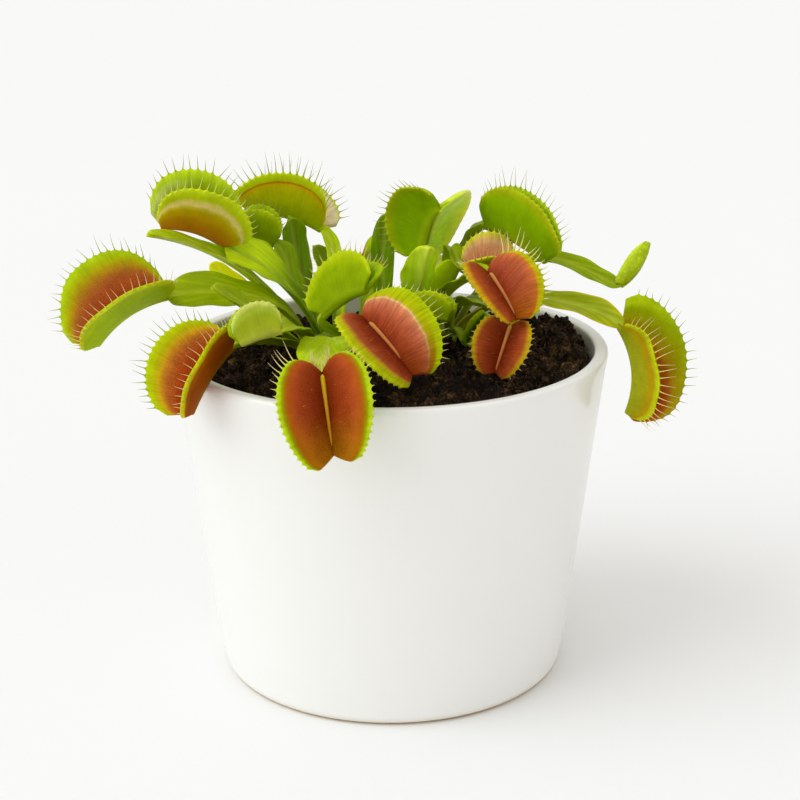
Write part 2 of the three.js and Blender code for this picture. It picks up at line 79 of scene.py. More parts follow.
def turn_about(vectors: Array, axes: Array, angles: Array) -> Array:
    """Each vector turned about its own unit axis, to which it is square.

    Args:
        vectors: unit vectors, one row each.
        axes: the unit axes, one row each.
        angles: the turn of each, in radians.

    Returns:
        The turned vectors.
    """
    return vectors * np.cos(angles)[:, None] + np.cross(axes, vectors) * np.sin(angles)[:, None]


def ease(values: Array, low: float, high: float) -> Array:
    """0 below low, 1 above high and a smooth step between them."""
    s = np.clip((np.asarray(values, float) - low) / (high - low), 0, 1)
    return s * s * (3 - 2 * s)


# Finishes


# The measures of each point that the finishes are laid out by, which MeshDraft explains
MEASURES = ("share", "along", "run_mm", "rise_mm")
# Numbers of the outputs of the nodes that read a measure and a place
MEASURE_OUT, OBJECT_OUT = 2, 3
# Numbers of the sockets of a Mix node that mixes colours, and its two settings
MIX_A, MIX_B, MIX_OUT = 6, 7, 2
BLEND = {"data_type": "RGBA", "blend_type": "MIX"}
MULTIPLY = {"data_type": "RGBA", "blend_type": "MULTIPLY"}
SMOOTH = {"interpolation_type": "SMOOTHSTEP"}
# Where most values of a noise lie
NOISE_LOW, NOISE_HIGH = 0.3, 0.7


def paint(colour: str) -> tuple[float, float, float, float]:
    """The linear colour of an sRGB hex value.

    Args:
        colour: the hex value, such as "b5c91e".

    Returns:
        Red, green, blue and alpha.
    """
    parts = [int(colour[i : i + 2], 16) / 255 for i in (0, 2, 4)]
    r, g, b = (c / 12.92 if c <= 0.04045 else ((c + 0.055) / 1.055) ** 2.4 for c in parts)
    return r, g, b, 1.0


def per_mm(size: float) -> float:
    """The texture scale, in object coordinates, of a pattern whose grains are that many millimetres."""
    return 1 / (size * MM)


def add_node(
    tree: bpy.types.NodeTree, kind: str, inputs: dict | Sequence = (), output: int = 0, **settings: object
) -> bpy.types.NodeSocket | None:
    """Adds one node to a material, with its settings and links.

    Args:
        tree: the material's node tree.
        kind: Blender's name for the type of node, without the ShaderNode that it starts with.
        inputs: the value of each input, or the output it is linked to, by name or number or in their order.
        output: the number of the output that is wanted.
        **settings: attributes to set. For a colour ramp, stops gives sRGB hex colours by their places.

    Returns:
        The output, or None for a node without one.
    """
    node = tree.nodes.new(f"ShaderNode{kind}")
    for number, (place, colour) in enumerate(settings.pop("stops", {}).items()):
        elements = node.color_ramp.elements
        if number == 0:
            elements.remove(elements[-1])
            elements[0].position = place
        element = elements.new(place) if number else elements[0]
        element.color = paint(colour)
    for key, value in settings.items():
        setattr(node, key, value)
    for key, value in inputs.items() if isinstance(inputs, dict) else enumerate(inputs):
        if isinstance(value, bpy.types.NodeSocket):
            tree.links.new(value, node.inputs[key])
        else:
            node.inputs[key].default_value = value
    return node.outputs[output] if node.outputs else None


@dataclass(frozen=True)
class Finish:
    """A finish of the real thing, which makes its own material."""

    name: str

    def sockets(self, tree: bpy.types.NodeTree) -> dict[str, object]:
        """What each socket of the surface shader is set or linked to."""
        raise NotImplementedError

    def material(self) -> bpy.types.Material:
        """Makes the material, one surface shader with all that leads to it, unless a piece has it already.

        Returns:
            The material.
        """
        if self.name in bpy.data.materials:
            return bpy.data.materials[self.name]
        material = bpy.data.materials.new(self.name)
        material.use_nodes = True
        material.node_tree.nodes.clear()
        shader = add_node(material.node_tree, "BsdfPrincipled", self.sockets(material.node_tree))
        add_node(material.node_tree, "OutputMaterial", {"Surface": shader})
        return material


@dataclass(frozen=True)
class GlazedEarthenware(Finish):
    """White tin-glazed earthenware, turned by hand and fired.

    The glaze gives a satin gloss, a wall that is very slightly uneven, a warmer tone where it ran thin near
    the foot, and a painted warm shade on the inner wall.
    """

    name: str = "glazed_earthenware"
    glaze: str = "f4f3ef"
    # the colour of the glaze where it ran thin near the foot, also used as painted warm shade on the inner
    # wall
    thin_glaze_and_inner_shade: str = "ece5d6"
    cloudy: float = 0.972
    roughness: float = 0.3
    coat: float = 0.5
    coat_roughness: float = 0.12
    wave_mm: float = 22.0
    wave_depth_mm: float = 0.6
    peel_mm: float = 2.2
    peel_depth_mm: float = 0.08

    def sockets(self, tree: bpy.types.NodeTree) -> dict[str, object]:
        """Lays the glaze by the wall's share measure, with clouds, slow waves and a fine orange peel.

        Args:
            tree: the material's node tree.

        Returns:
            The values and outputs for the surface shader.
        """
        coords = add_node(tree, "TexCoord", output=OBJECT_OUT)
        share = add_node(tree, "Attribute", output=MEASURE_OUT, attribute_name="share")
        cloud = add_node(tree, "TexNoise", {"Vector": coords, "Scale": per_mm(self.wave_mm), "Detail": 3.0})
        peel = add_node(tree, "TexNoise", {"Vector": coords, "Scale": per_mm(self.peel_mm), "Detail": 2.0})
        laid = {0: share, MIX_A: paint(self.glaze), MIX_B: paint(self.thin_glaze_and_inner_shade)}
        glaze = add_node(tree, "Mix", laid, MIX_OUT, **BLEND)
        tone = add_node(tree, "MapRange", [cloud, 0.0, 1.0, self.cloudy, 1.0])
        colour = add_node(tree, "Mix", {0: 1.0, MIX_A: glaze, MIX_B: tone}, MIX_OUT, **MULTIPLY)
        wavy = {"Height": cloud, "Strength": 0.25, "Distance": self.wave_depth_mm * MM}
        peeled = {"Height": peel, "Strength": 0.12, "Distance": self.peel_depth_mm * MM}
        normal = add_node(tree, "Bump", {**peeled, "Normal": add_node(tree, "Bump", wavy)})
        gloss = {"Roughness": self.roughness, "Coat Weight": self.coat, "Coat Roughness": self.coat_roughness}
        return {"Base Color": colour, "Normal": normal, **gloss}


@dataclass(frozen=True)
class BareEarthenware(Finish):
    """The unglazed foot: wiped clean before firing, which leaves a matt tan line with fine grit."""

    name: str = "bare_earthenware"
    # painted light: the clay and grit are lighter than their own, as the foot line sits in the shadow where
    # the pot meets the floor
    clay: str = "f0d8a0"
    grit: str = "cfae78"
    grit_mm: float = 0.5
    grit_depth_mm: float = 0.2

    def sockets(self, tree: bpy.types.NodeTree) -> dict[str, object]:
        """Spots the clay with grit.

        Args:
            tree: the material's node tree.

        Returns:
            The values and outputs for the surface shader.
        """
        coords = add_node(tree, "TexCoord", output=OBJECT_OUT)
        grains = add_node(tree, "TexNoise", {"Vector": coords, "Scale": per_mm(self.grit_mm), "Detail": 4.0})
        colour = add_node(tree, "ValToRGB", [grains], stops={0.4: self.grit, 0.62: self.clay})
        rough = {"Height": grains, "Strength": 0.5, "Distance": self.grit_depth_mm * MM}
        return {"Base Color": colour, "Normal": add_node(tree, "Bump", rough), "Roughness": 0.85}


@dataclass(frozen=True)
class Peat(Finish):
    """Moist sphagnum peat, crumbled by hand: nearly black in its pores, with dull brown crumbs and no gloss.

    Its real grains are about a tenth of a millimetre, less than the picture can show, so the fine pattern
    is drawn at nearly half a crumb.
    """

    pore: str
    crumb: str
    dry: str
    crumb_mm: float = 1.6
    depth_mm: float = 1.0
    roughness: float = 0.95
    gloss: float = 0.3

    def sockets(self, tree: bpy.types.NodeTree) -> dict[str, object]:
        """Mixes a coarse change of tone with a fine grain, which also roughens the surface.

        Args:
            tree: the material's node tree.

        Returns:
            The values and outputs for the surface shader.
        """
        coords = add_node(tree, "TexCoord", output=OBJECT_OUT)
        lumps = {"Scale": per_mm(self.crumb_mm * 3.5), "Detail": 4.0, "Roughness": 0.65}
        grains = {"Scale": per_mm(self.crumb_mm * 0.45), "Detail": 4.0, "Roughness": 0.7}
        coarse = add_node(tree, "TexNoise", {"Vector": coords, **lumps})
        fine = add_node(tree, "TexNoise", {"Vector": coords, **grains})
        both = add_node(tree, "Math", [coarse, fine], operation="MULTIPLY")
        colour = add_node(tree, "ValToRGB", [both], stops={0.18: self.pore, 0.27: self.crumb, 0.37: self.dry})
        normal = add_node(tree, "Bump", {"Height": fine, "Strength": 1.0, "Distance": self.depth_mm * MM})
        dull = {"Roughness": self.roughness, "Specular IOR Level": self.gloss}
        return {"Base Color": colour, "Normal": normal, **dull}


# Wet cells under a thin wax: their index of refraction, and how far red, green and blue light spread in them
CELL_IOR = 1.42
CELL_SPREAD = (0.9, 1.0, 0.08)
CELL_SPREAD_MM = 1.2


def wet_cells(roughness: float, gloss: float, glow: float) -> dict[str, object]:
    """What all leaf tissue has: wet cells behind a thin wax, with some light passing through.

    Args:
        roughness: that of the surface.
        gloss: how much of the mirror reflection the wax gives, 0.5 being that of its index of refraction.
        glow: the share of the light that goes into the tissue and comes out elsewhere.

    Returns:
        The values for the surface shader.
    """
    wax = {"Roughness": roughness, "IOR": CELL_IOR, "Specular IOR Level": gloss}
    spread = {"Subsurface Radius": CELL_SPREAD, "Subsurface Scale": CELL_SPREAD_MM * MM}
    return {**wax, "Subsurface Weight": glow, **spread}


@dataclass(frozen=True)
class StalkTissue(Finish):
    """Leaf tissue of a winged stalk: waxy, with a pale midrib and long veins, and light that shines through.

    The blade starts to change to its tip's colour at the share turn of its length. Real veins are about a
    fifth of a millimetre wide, which is finer than a pixel, so they are drawn over three times as wide.
    """

    root: str
    blade: str
    tip: str
    rib: str
    edge: str
    turn: float = 0.7
    rib_mm: float = 0.95
    rib_strength: float = 0.75
    edge_start: float = 0.8
    edge_strength: float = 0.8
    vein_mm: float = 0.7
    vein_slant: float = 0.16
    vein_wander: float = 0.09
    vein_depth_mm: float = 0.2
    vein_tone: tuple[float, float] = (0.8, 1.1)
    patch_mm: float = 5.0
    patch_tone: tuple[float, float] = (0.86, 1.08)
    roughness: float = 0.32
    gloss: float = 0.09
    glow: float = 0.3

    def sockets(self, tree: bpy.types.NodeTree) -> dict[str, object]:
        """Makes the change from root to tip, lays midrib and edge over it, then veins and patches.

        Args:
            tree: the material's node tree.

        Returns:
            The values and outputs for the surface shader.
        """
        coords = add_node(tree, "TexCoord", output=OBJECT_OUT)
        share, along, run, rise = (
            add_node(tree, "Attribute", output=MEASURE_OUT, attribute_name=measure) for measure in MEASURES
        )
        stops = {0.0: self.root, 0.3: self.blade, self.turn: self.blade, self.turn + 0.3: self.tip}
        length = add_node(tree, "ValToRGB", [along], stops=stops)
        rib = add_node(tree, "MapRange", [rise, 0.25, self.rib_mm, self.rib_strength, 0.0], **SMOOTH)
        ribbed = add_node(tree, "Mix", {0: rib, MIX_A: length, MIX_B: paint(self.rib)}, MIX_OUT, **BLEND)
        edge = add_node(tree, "MapRange", [share, self.edge_start, 1.0, 0.0, self.edge_strength], **SMOOTH)
        edged = add_node(tree, "Mix", {0: edge, MIX_A: ribbed, MIX_B: paint(self.edge)}, MIX_OUT, **BLEND)
        # the veins leave the midrib at a small angle, so the streaks follow run and only slowly rise
        slant = add_node(tree, "Math", [run, -self.vein_slant, rise], operation="MULTIPLY_ADD")
        lines = add_node(tree, "Math", [slant, 1 / self.vein_mm], operation="MULTIPLY")
        slow = add_node(tree, "Math", [run, self.vein_wander], operation="MULTIPLY")
        place = add_node(tree, "CombineXYZ", [lines, slow])
        veins = add_node(tree, "TexNoise", {"Vector": place, "Scale": 1.0, "Detail": 1.5})
        broad = {"Vector": coords, "Scale": per_mm(self.patch_mm), "Detail": 3.0}
        patches = add_node(tree, "TexNoise", broad)
        veined = add_node(tree, "MapRange", [veins, NOISE_LOW, NOISE_HIGH, *self.vein_tone])
        patched = add_node(tree, "MapRange", [patches, NOISE_LOW, NOISE_HIGH, *self.patch_tone])
        tone = add_node(tree, "Math", [veined, patched], operation="MULTIPLY")
        colour = add_node(tree, "Mix", {0: 1.0, MIX_A: edged, MIX_B: tone}, MIX_OUT, **MULTIPLY)
        grooved = {"Height": veins, "Strength": 0.35, "Distance": self.vein_depth_mm * MM}
        normal = add_node(tree, "Bump", grooved)
        return {"Base Color": colour, "Normal": normal, **wet_cells(self.roughness, self.gloss, self.glow)}


@dataclass(frozen=True)
class LobeTissue(Finish):
    """Leaf tissue of one face of a trap's lobes: fleshy, with veins from hinge to margin.

    The stops give its colour from the hinge (0) to the margin (1). Inside, the red pad is covered with fine
    glands, which dull it like velvet. Outside, the skin is smooth and waxy. toe is a colour that the pad
    changes to at the far end. drift moves the zones along the hinge, out from the share of it given by poise.
    Real glands are about a tenth of a millimetre wide and real veins a fifth, finer than a pixel, so the
    dots are drawn over three times as wide and the streaks nearly twice.
    """

    stops: dict[float, str]
    streak: float = 0.16
    glands: float = 0.0
    ragged: float = 0.04
    toe: str = ""
    drift: float = 0.0
    poise: float = 0.0
    roughness: float = 0.55
    gloss: float = 0.02
    glow: float = 0.3
    border_mm: float = 2.2
    streak_mm: float = 0.34
    streak_wander: float = 0.16
    gland_mm: float = 0.36
    patch_mm: float = 3.5
    patch_tone: tuple[float, float] = (0.88, 1.08)
    depth_mm: float = 0.2
    toe_reach: tuple[float, float] = (0.5, 0.98)
    toe_edge: tuple[float, float] = (0.82, 0.9)
    toe_strength: float = 0.85

    def zones(
        self, tree: bpy.types.NodeTree, share: bpy.types.NodeSocket, along: bpy.types.NodeSocket
    ) -> bpy.types.NodeSocket:
        """Lays the zones of colour from hinge to margin, with a ragged border, and the toe's colour.

        Args:
            tree: the material's node tree.
            share: the output that gives how far a point is from the hinge to the margin.
            along: the output that gives how far it is from the stalk's end to the far end.

        Returns:
            The output that gives the colour.
        """
        coords = add_node(tree, "TexCoord", output=OBJECT_OUT)
        torn = {"Vector": coords, "Scale": per_mm(self.border_mm), "Detail": 4.0}
        border = add_node(tree, "TexNoise", torn)
        shift = add_node(tree, "MapRange", [border, 0.25, 0.75, -self.ragged, self.ragged])
        past = add_node(tree, "Math", [along, self.poise], operation="SUBTRACT")
        slide = add_node(tree, "Math", [past, -self.drift, shift], operation="MULTIPLY_ADD")
        zone = add_node(tree, "Math", [share, slide], operation="ADD")
        colour = add_node(tree, "ValToRGB", [zone], stops=self.stops)
        if self.toe:
            far_end = add_node(tree, "MapRange", [along, *self.toe_reach, 0.0, self.toe_strength], **SMOOTH)
            within = add_node(tree, "MapRange", [share, *self.toe_edge, 1.0, 0.0], **SMOOTH)
            amount = add_node(tree, "Math", [far_end, within], operation="MULTIPLY")
            tinted = {0: amount, MIX_A: colour, MIX_B: paint(self.toe)}
            colour = add_node(tree, "Mix", tinted, MIX_OUT, **BLEND)
        return colour

    def sockets(self, tree: bpy.types.NodeTree) -> dict[str, object]:
        """Lays streaks along the veins, gland dots on the pad and soft patches over the zones.

        Args:
            tree: the material's node tree.

        Returns:
            The values and outputs for the surface shader.
        """
        coords = add_node(tree, "TexCoord", output=OBJECT_OUT)
        share, along, run, rise = (
            add_node(tree, "Attribute", output=MEASURE_OUT, attribute_name=measure) for measure in MEASURES
        )
        lines = add_node(tree, "Math", [run, 1 / self.streak_mm], operation="MULTIPLY")
        slow = add_node(tree, "Math", [rise, self.streak_wander], operation="MULTIPLY")
        place = add_node(tree, "CombineXYZ", [lines, slow])
        veins = add_node(tree, "TexNoise", {"Vector": place, "Scale": 1.0, "Detail": 2.0})
        spots = {"Vector": coords, "Scale": per_mm(self.gland_mm), "Randomness": 0.9}
        dots = add_node(tree, "TexVoronoi", spots)
        broad = {"Vector": coords, "Scale": per_mm(self.patch_mm), "Detail": 3.0}
        patches = add_node(tree, "TexNoise", broad)
        veined = add_node(tree, "MapRange", [veins, 0.32, 0.68, 1 - self.streak, 1 + 0.5 * self.streak])
        dotted = add_node(tree, "MapRange", [dots, 0.0, 0.6, 1 + 0.5 * self.glands, 1 - self.glands])
        padded = add_node(tree, "MapRange", [share, 0.55, 0.82, 1.0, 0.2], **SMOOTH)
        faded = add_node(tree, "Mix", {0: padded, 2: 1.0, 3: dotted}, data_type="FLOAT")
        patched = add_node(tree, "MapRange", [patches, NOISE_LOW, NOISE_HIGH, *self.patch_tone])
        fine = add_node(tree, "Math", [veined, faded], operation="MULTIPLY")
        tone = add_node(tree, "Math", [fine, patched], operation="MULTIPLY")
        zones = self.zones(tree, share, along)
        colour = add_node(tree, "Mix", {0: 1.0, MIX_A: zones, MIX_B: tone}, MIX_OUT, **MULTIPLY)
        normal = add_node(tree, "Bump", {"Height": tone, "Strength": 0.5, "Distance": self.depth_mm * MM})
        return {"Base Color": colour, "Normal": normal, **wet_cells(self.roughness, self.gloss, self.glow)}


@dataclass(frozen=True)
class BristleTissue(Finish):
    """The stiff cilia of the margin: green where they leave the lobe, then horny and paler to the tip."""

    stops: dict[float, str]
    roughness: float = 0.45
    gloss: float = 0.1
    glow: float = 0.3

    def sockets(self, tree: bpy.types.NodeTree) -> dict[str, object]:
        """Makes the change from root to tip.

        Args:
            tree: the material's node tree.

        Returns:
            The values and outputs for the surface shader.
        """
        along = add_node(tree, "Attribute", output=MEASURE_OUT, attribute_name="along")
        colour = add_node(tree, "ValToRGB", [along], stops=self.stops)
        return {"Base Color": colour, **wet_cells(self.roughness, self.gloss, self.glow)}


@dataclass(frozen=True)
class MattPaper(Finish):
    """The white paper sweep under the pot: matt, with clouds that can hardly be seen."""

    name: str = "matt_paper"
    colour: str = "f9f9f9"
    cloudy: float = 0.99
    cloud_mm: float = 90.0
    roughness: float = 0.9

    def sockets(self, tree: bpy.types.NodeTree) -> dict[str, object]:
        """Clouds the white a little.

        Args:
            tree: the material's node tree.

        Returns:
            The values and outputs for the surface shader.
        """
        coords = add_node(tree, "TexCoord", output=OBJECT_OUT)
        cloud = add_node(tree, "TexNoise", {"Vector": coords, "Scale": per_mm(self.cloud_mm), "Detail": 2.0})
        tone = add_node(tree, "MapRange", [cloud, 0.0, 1.0, self.cloudy, 1.0])
        clouded = {0: 1.0, MIX_A: paint(self.colour), MIX_B: tone}
        colour = add_node(tree, "Mix", clouded, MIX_OUT, **MULTIPLY)
        return {"Base Color": colour, "Roughness": self.roughness}


class Blade(Enum):
    """The greens of the winged stalks, from sunlit to shaded, and then those of two young leaves, lightened
    as painted light.
    """

    LIME = StalkTissue("leaf_tissue_lime", "adb93a", "bcd60a", "c2de0e", "d0de34", "bcd00c")
    MIXED = StalkTissue("leaf_tissue_mixed", "688408", "7a9806", "c8e014", "a8c02c", "98b40a", turn=0.3)
    FRESH = StalkTissue("leaf_tissue_fresh", "8c9a2c", "98ae06", "aac00a", "b4c42a", "94ac08")
    GILDED = StalkTissue("leaf_tissue_gilded", "98a42c", "a0b00c", "b4bc10", "bcc838", "d8b814")
    MEADOW = StalkTissue("leaf_tissue_meadow", "82922c", "8eaa06", "a0b808", "b4c430", "86a008")
    SHADE = StalkTissue("leaf_tissue_shade", "6a8022", "7a9c06", "8aa80a", "a0b434", "6e9006")
    # painted light: the bud's yellow is lighter than its own, standing in for light that the lamps don't give
    # it
    PAINTED_LIT_YELLOW = StalkTissue("leaf_tissue_painted_lit_yellow", "d4cc24", "fcf80c", "fffc14", "fcf83c", "f4ec0c", glow=0.8)
    # painted light: this young leaf's greens are lighter than its own, and its midrib is widened and paled
    # into a painted highlight
    PAINTED_LIT_GLOSSY = StalkTissue(
        "leaf_tissue_painted_lit_glossy", "bcd034", "d4f428", "e0fc3c", "ecfc58", "c8ec1c",
        rib_mm=2.2, vein_mm=1.7, roughness=0.25, gloss=0.16, glow=0.8,
    )


class Pad(Enum):
    """The insides of the traps: how red the pad is and where it gives way to the green band."""

    BRICK = LobeTissue(
        "lobe_inside_brick",
        {
            0: "8e380e", 0.28: "a84818", 0.5: "b65c26", 0.6: "b87024", 0.68: "b88c18",
            0.77: "b0a40a", 0.86: "a8ba08", 1: "b0ca0c",
        },
        streak=0.1, glands=0.26, ragged=0.018,
    )
    CORAL = LobeTissue(
        "lobe_inside_coral",
        {
            0: "962c04", 0.2: "b44208", 0.42: "cc5e22", 0.6: "d67c32", 0.7: "e09c2c",
            0.78: "dcb81c", 0.86: "c0c00c", 1: "bcd40c",
        },
        streak=0.14, glands=0.28, ragged=0.015,
    )
    MAROON = LobeTissue(
        "lobe_inside_maroon",
        {
            0: "7c2604", 0.15: "8e320a", 0.5: "aa461c", 0.76: "b65022", 0.85: "b25e12",
            0.895: "aa7c08", 0.925: "98a408", 0.945: "b0c60e", 1: "cce428",
        },
        streak=0.06, glands=0.28, ragged=0.01, toe="b07404",
    )
    ROSE = LobeTissue(
        "lobe_inside_rose",
        {
            0: "8c2c0e", 0.1: "a2401c", 0.34: "bc5630", 0.56: "d67450", 0.68: "e49464",
            0.715: "ecc888", 0.74: "ccb828", 0.775: "b8ba08", 0.93: "b4c608", 1: "c4d814",
        },
        streak=0.26, glands=0.12, ragged=0.02, toe="9c4410",
    )
    SALMON = LobeTissue(
        "lobe_inside_salmon",
        {
            0: "88300e", 0.15: "a4421e", 0.5: "b85636", 0.78: "c4663c", 0.85: "ca7c2a",
            0.9: "ccac14", 0.94: "b8bc08", 1: "c4cc10",
        },
        streak=0.24, glands=0.16, ragged=0.012, toe="b06008",
    )
    CLARET = LobeTissue(
        "lobe_inside_claret",
        {
            0: "701c04", 0.2: "8a2e0c", 0.6: "a2421e", 0.84: "ac5022", 0.89: "bc7820",
            0.93: "cc9c18", 1: "ccb41c",
        },
        streak=0.2, glands=0.22, ragged=0.012,
    )
    WINE = LobeTissue(
        "lobe_inside_wine",
        {
            0: "6c1a06", 0.2: "842a0e", 0.6: "9e4020", 0.82: "ac562a", 0.87: "c08a2a",
            0.91: "bcb014", 0.96: "b8bc0c", 1: "c8d018",
        },
        streak=0.2, glands=0.22, ragged=0.01, drift=-0.1, poise=0.1,
    )
    HALF = LobeTissue(
        "lobe_inside_half",
        {
            0: "842c06", 0.16: "a0400c", 0.32: "a85a12", 0.42: "a8880a", 0.6: "a09c04",
            0.84: "98aa04", 1: "b0c40c",
        },
        streak=0.08, glands=0.2, ragged=0.03, drift=0.9, poise=0.3,
    )
    BLUSH = LobeTissue(
        "lobe_inside_blush",
        {0: "d4844c", 0.4: "f4b080", 0.8: "f4c490", 0.9: "e4cc50", 1: "d8d830"},
        streak=0.2, glands=0.12,
    )
    GREEN = LobeTissue(
        "lobe_inside_green",
        {0: "84a008", 0.3: "8aac08", 0.7: "94b60a", 0.86: "a0c00e", 1: "b8d01c"},
        streak=0.2, glands=0.1,
    )
    # its pale toe is a painted sheen at the far end of the pad
    SHEEN = LobeTissue(
        "lobe_inside_sheen",
        {0: "90a808", 0.3: "98b20a", 0.7: "a4be10", 0.86: "b0cc18", 1: "c8dc28"},
        streak=0.18, glands=0.08, toe="d0da70",
    )
    # painted light: a green lighter than the tissue's own, standing in for light on lobes that the lamps
    # leave in shade
    PAINTED_LIT = LobeTissue(
        "lobe_inside_painted_lit",
        {0: "bcd020", 0.3: "c8dc24", 0.8: "d6ea34", 1: "e4f450"},
        streak=0.1, glands=0.16, gloss=0.08, roughness=0.3, glow=0.8, gland_mm=1.1,
    )
    PINK = LobeTissue(
        "lobe_inside_pink",
        {0: "c4bc48", 0.3: "dcc478", 0.6: "f0d8a8", 0.86: "f0e0b4", 0.94: "dcdc58", 1: "c8d828"},
        streak=0.22, glands=0.1,
    )


class Skin(Enum):
    """The outsides of the traps."""

    LIME = LobeTissue(
        "lobe_outside_lime",
        {0: "a8be14", 0.2: "9eb804", 0.7: "a2bc04", 0.86: "aec406", 0.94: "c4cc0c", 1: "d4d820"},
        streak=0.08,
    )
    FRESH = LobeTissue(
        "lobe_outside_fresh",
        {0: "98ae10", 0.2: "84a604", 0.7: "82a602", 0.85: "94b206", 0.92: "a4b00c", 1: "b4c018"},
        streak=0.07,
    )
    MOSS = LobeTissue(
        "lobe_outside_moss",
        {0: "8ca40c", 0.3: "8aa204", 0.7: "94ae04", 0.86: "aec208", 1: "c4d41c"},
        streak=0.1,
    )
    # painted light: a green lighter than the tissue's own, standing in for light on lobes that the lamps
    # leave in shade
    PAINTED_LIT = LobeTissue(
        "lobe_outside_painted_lit",
        {0: "d0ec44", 0.3: "e0ff44", 0.8: "ecff58", 1: "fcff78"},
        streak=0.07, glands=0.08, gloss=0.08, roughness=0.3, glow=1.0, gland_mm=1.1,
    )
    YOUNG = LobeTissue(
        "lobe_outside_young",
        {0: "b4cc1c", 0.3: "c4dc20", 0.8: "d0e830", 1: "dcf040"},
        streak=0.08, glands=0.2, gloss=0.1, roughness=0.3, glow=0.6, gland_mm=1.1,
    )
    OLIVE = LobeTissue(
        "lobe_outside_olive",
        {
            0: "b0c404", 0.3: "bcc806", 0.66: "ccc808", 0.78: "dcbc0c", 0.815: "c8700f",
            0.84: "d4c410", 0.88: "c8dc0c", 1: "d8e81c",
        },
        streak=0.07, ragged=0.014,
    )
    BRONZE = LobeTissue(
        "lobe_outside_bronze",
        {
            0: "c07c34", 0.1: "b8740c", 0.35: "b88a06", 0.55: "bca408", 0.61: "c8bc28",
            0.67: "e4d078", 0.73: "dccc64", 0.79: "bcc814", 0.9: "bcd010", 1: "d0e028",
        },
        streak=0.06, ragged=0.035,
    )
    ORANGE = LobeTissue(
        "lobe_outside_orange",
        {0: "a46c10", 0.25: "984a08", 0.6: "944404", 0.82: "a86004", 0.9: "ccae0a", 1: "d4d014"},
        streak=0.1,
    )
    AMBER = LobeTissue(
        "lobe_outside_amber",
        {
            0: "b0b81c", 0.3: "aeb01c", 0.6: "b4a60c", 0.76: "c0940c", 0.84: "bcac0c",
            0.9: "bcc408", 1: "c8d014",
        },
        streak=0.08, glands=0.12,
    )
    GOLDEN = LobeTissue(
        "lobe_outside_golden",
        {0: "b0b81c", 0.3: "b4ac18", 0.6: "bca010", 0.8: "c4940c", 0.9: "ccac10", 1: "ccb820"},
        streak=0.08, glands=0.1,
    )
    PALE = LobeTissue(
        "lobe_outside_pale",
        {0: "b0b440", 0.2: "a4ae20", 0.6: "9cac18", 0.86: "b4c440", 1: "d8dc74"},
        streak=0.08, gloss=0.12, roughness=0.34,
    )


class Cilia(Enum):
    """The cilia of the margins."""

    SAGE = BristleTissue("cilia_sage", {0: "b0c41c", 0.14: "a0a830", 0.45: "8e8e4c", 1: "9c9874"})
    CREAM = BristleTissue("cilia_cream", {0: "c8cc30", 0.2: "dccc64", 0.6: "eed89c", 1: "e8cc9c"})
    GOLD = BristleTissue("cilia_gold", {0: "c0c824", 0.4: "d4cc68", 1: "dcd09c"})


class Ridge(Enum):
    """The midrib that shows between the pads of a wide open trap, from the stalk to the far end."""

    TAN = BristleTissue("midrib_tan", {0: "d4b81c", 0.4: "d09c1c", 1: "bc781c"})
    ROSY = BristleTissue("midrib_rosy", {0: "d4a04c", 0.4: "d4884c", 1: "c47040"})


class Earth(Enum):
    """The finishes of the growing medium."""

    BED = Peat("moist_peat", "0a0502", "2c1b0c", "664822")
    CRUMB = Peat("peat_crumb", "120a04", "422d16", "8e6a3a", 1.1)
    FIBRE = Peat("peat_fibre", "30200f", "64441f", "96703c", 2.5)


# Meshes


def circle(sides: int) -> Array:
    """The angles of that many places on a circle, evenly spread."""
    return np.arange(sides) * 2 * math.pi / sides


def spokes(sides: int, first: Array, second: Array) -> Array:
    """Directions on a circle around each point, in the plane of its first and second direction."""
    angle = circle(sides)
    return np.cos(angle)[:, None] * first[..., None, :] + np.sin(angle)[:, None] * second[..., None, :]


def turned(radii: Array, heights: Array | float, sides: int) -> Array:
    """Rings of points around the Z axis.

    Args:
        radii: the radius of each ring, or of each of its points, by ring and place.
        heights: the heights in the same way.
        sides: how many points a ring has.

    Returns:
        The points by ring and place.
    """
    turn = circle(sides)
    return np.stack([radii * np.cos(turn), radii * np.sin(turn), heights + 0 * radii * turn], axis=-1)


def ring_quads(rings: int, sides: int) -> Array:
    """The quads between rings of points that are closed on themselves.

    Args:
        rings: how many rings there are.
        sides: how many points each has.

    Returns:
        One row of four point numbers for each quad.
    """
    i, k = np.meshgrid(np.arange(rings - 1), np.arange(sides), indexing="ij")
    after = (k + 1) % sides
    quads = [i * sides + k, (i + 1) * sides + k, (i + 1) * sides + after, i * sides + after]
    return np.stack(quads, axis=-1).reshape(-1, 4)


def skin_faces(rings: int, sides: int) -> list[Array]:
    """The faces of a closed skin over rings of points, which end in a middle point for each of its two ends.

    Args:
        rings: how many rings there are.
        sides: how many points each has.

    Returns:
        The quads, the fan of triangles in the first ring and the one in the last.
    """
    k = np.arange(sides)
    after = (k + 1) % sides
    middle = np.full(sides, rings * sides)
    last = (rings - 1) * sides
    first_fan = np.stack([middle, k, after], axis=-1)
    last_fan = np.stack([middle + 1, after + last, k + last], axis=-1)
    return [ring_quads(rings, sides), first_fan, last_fan]


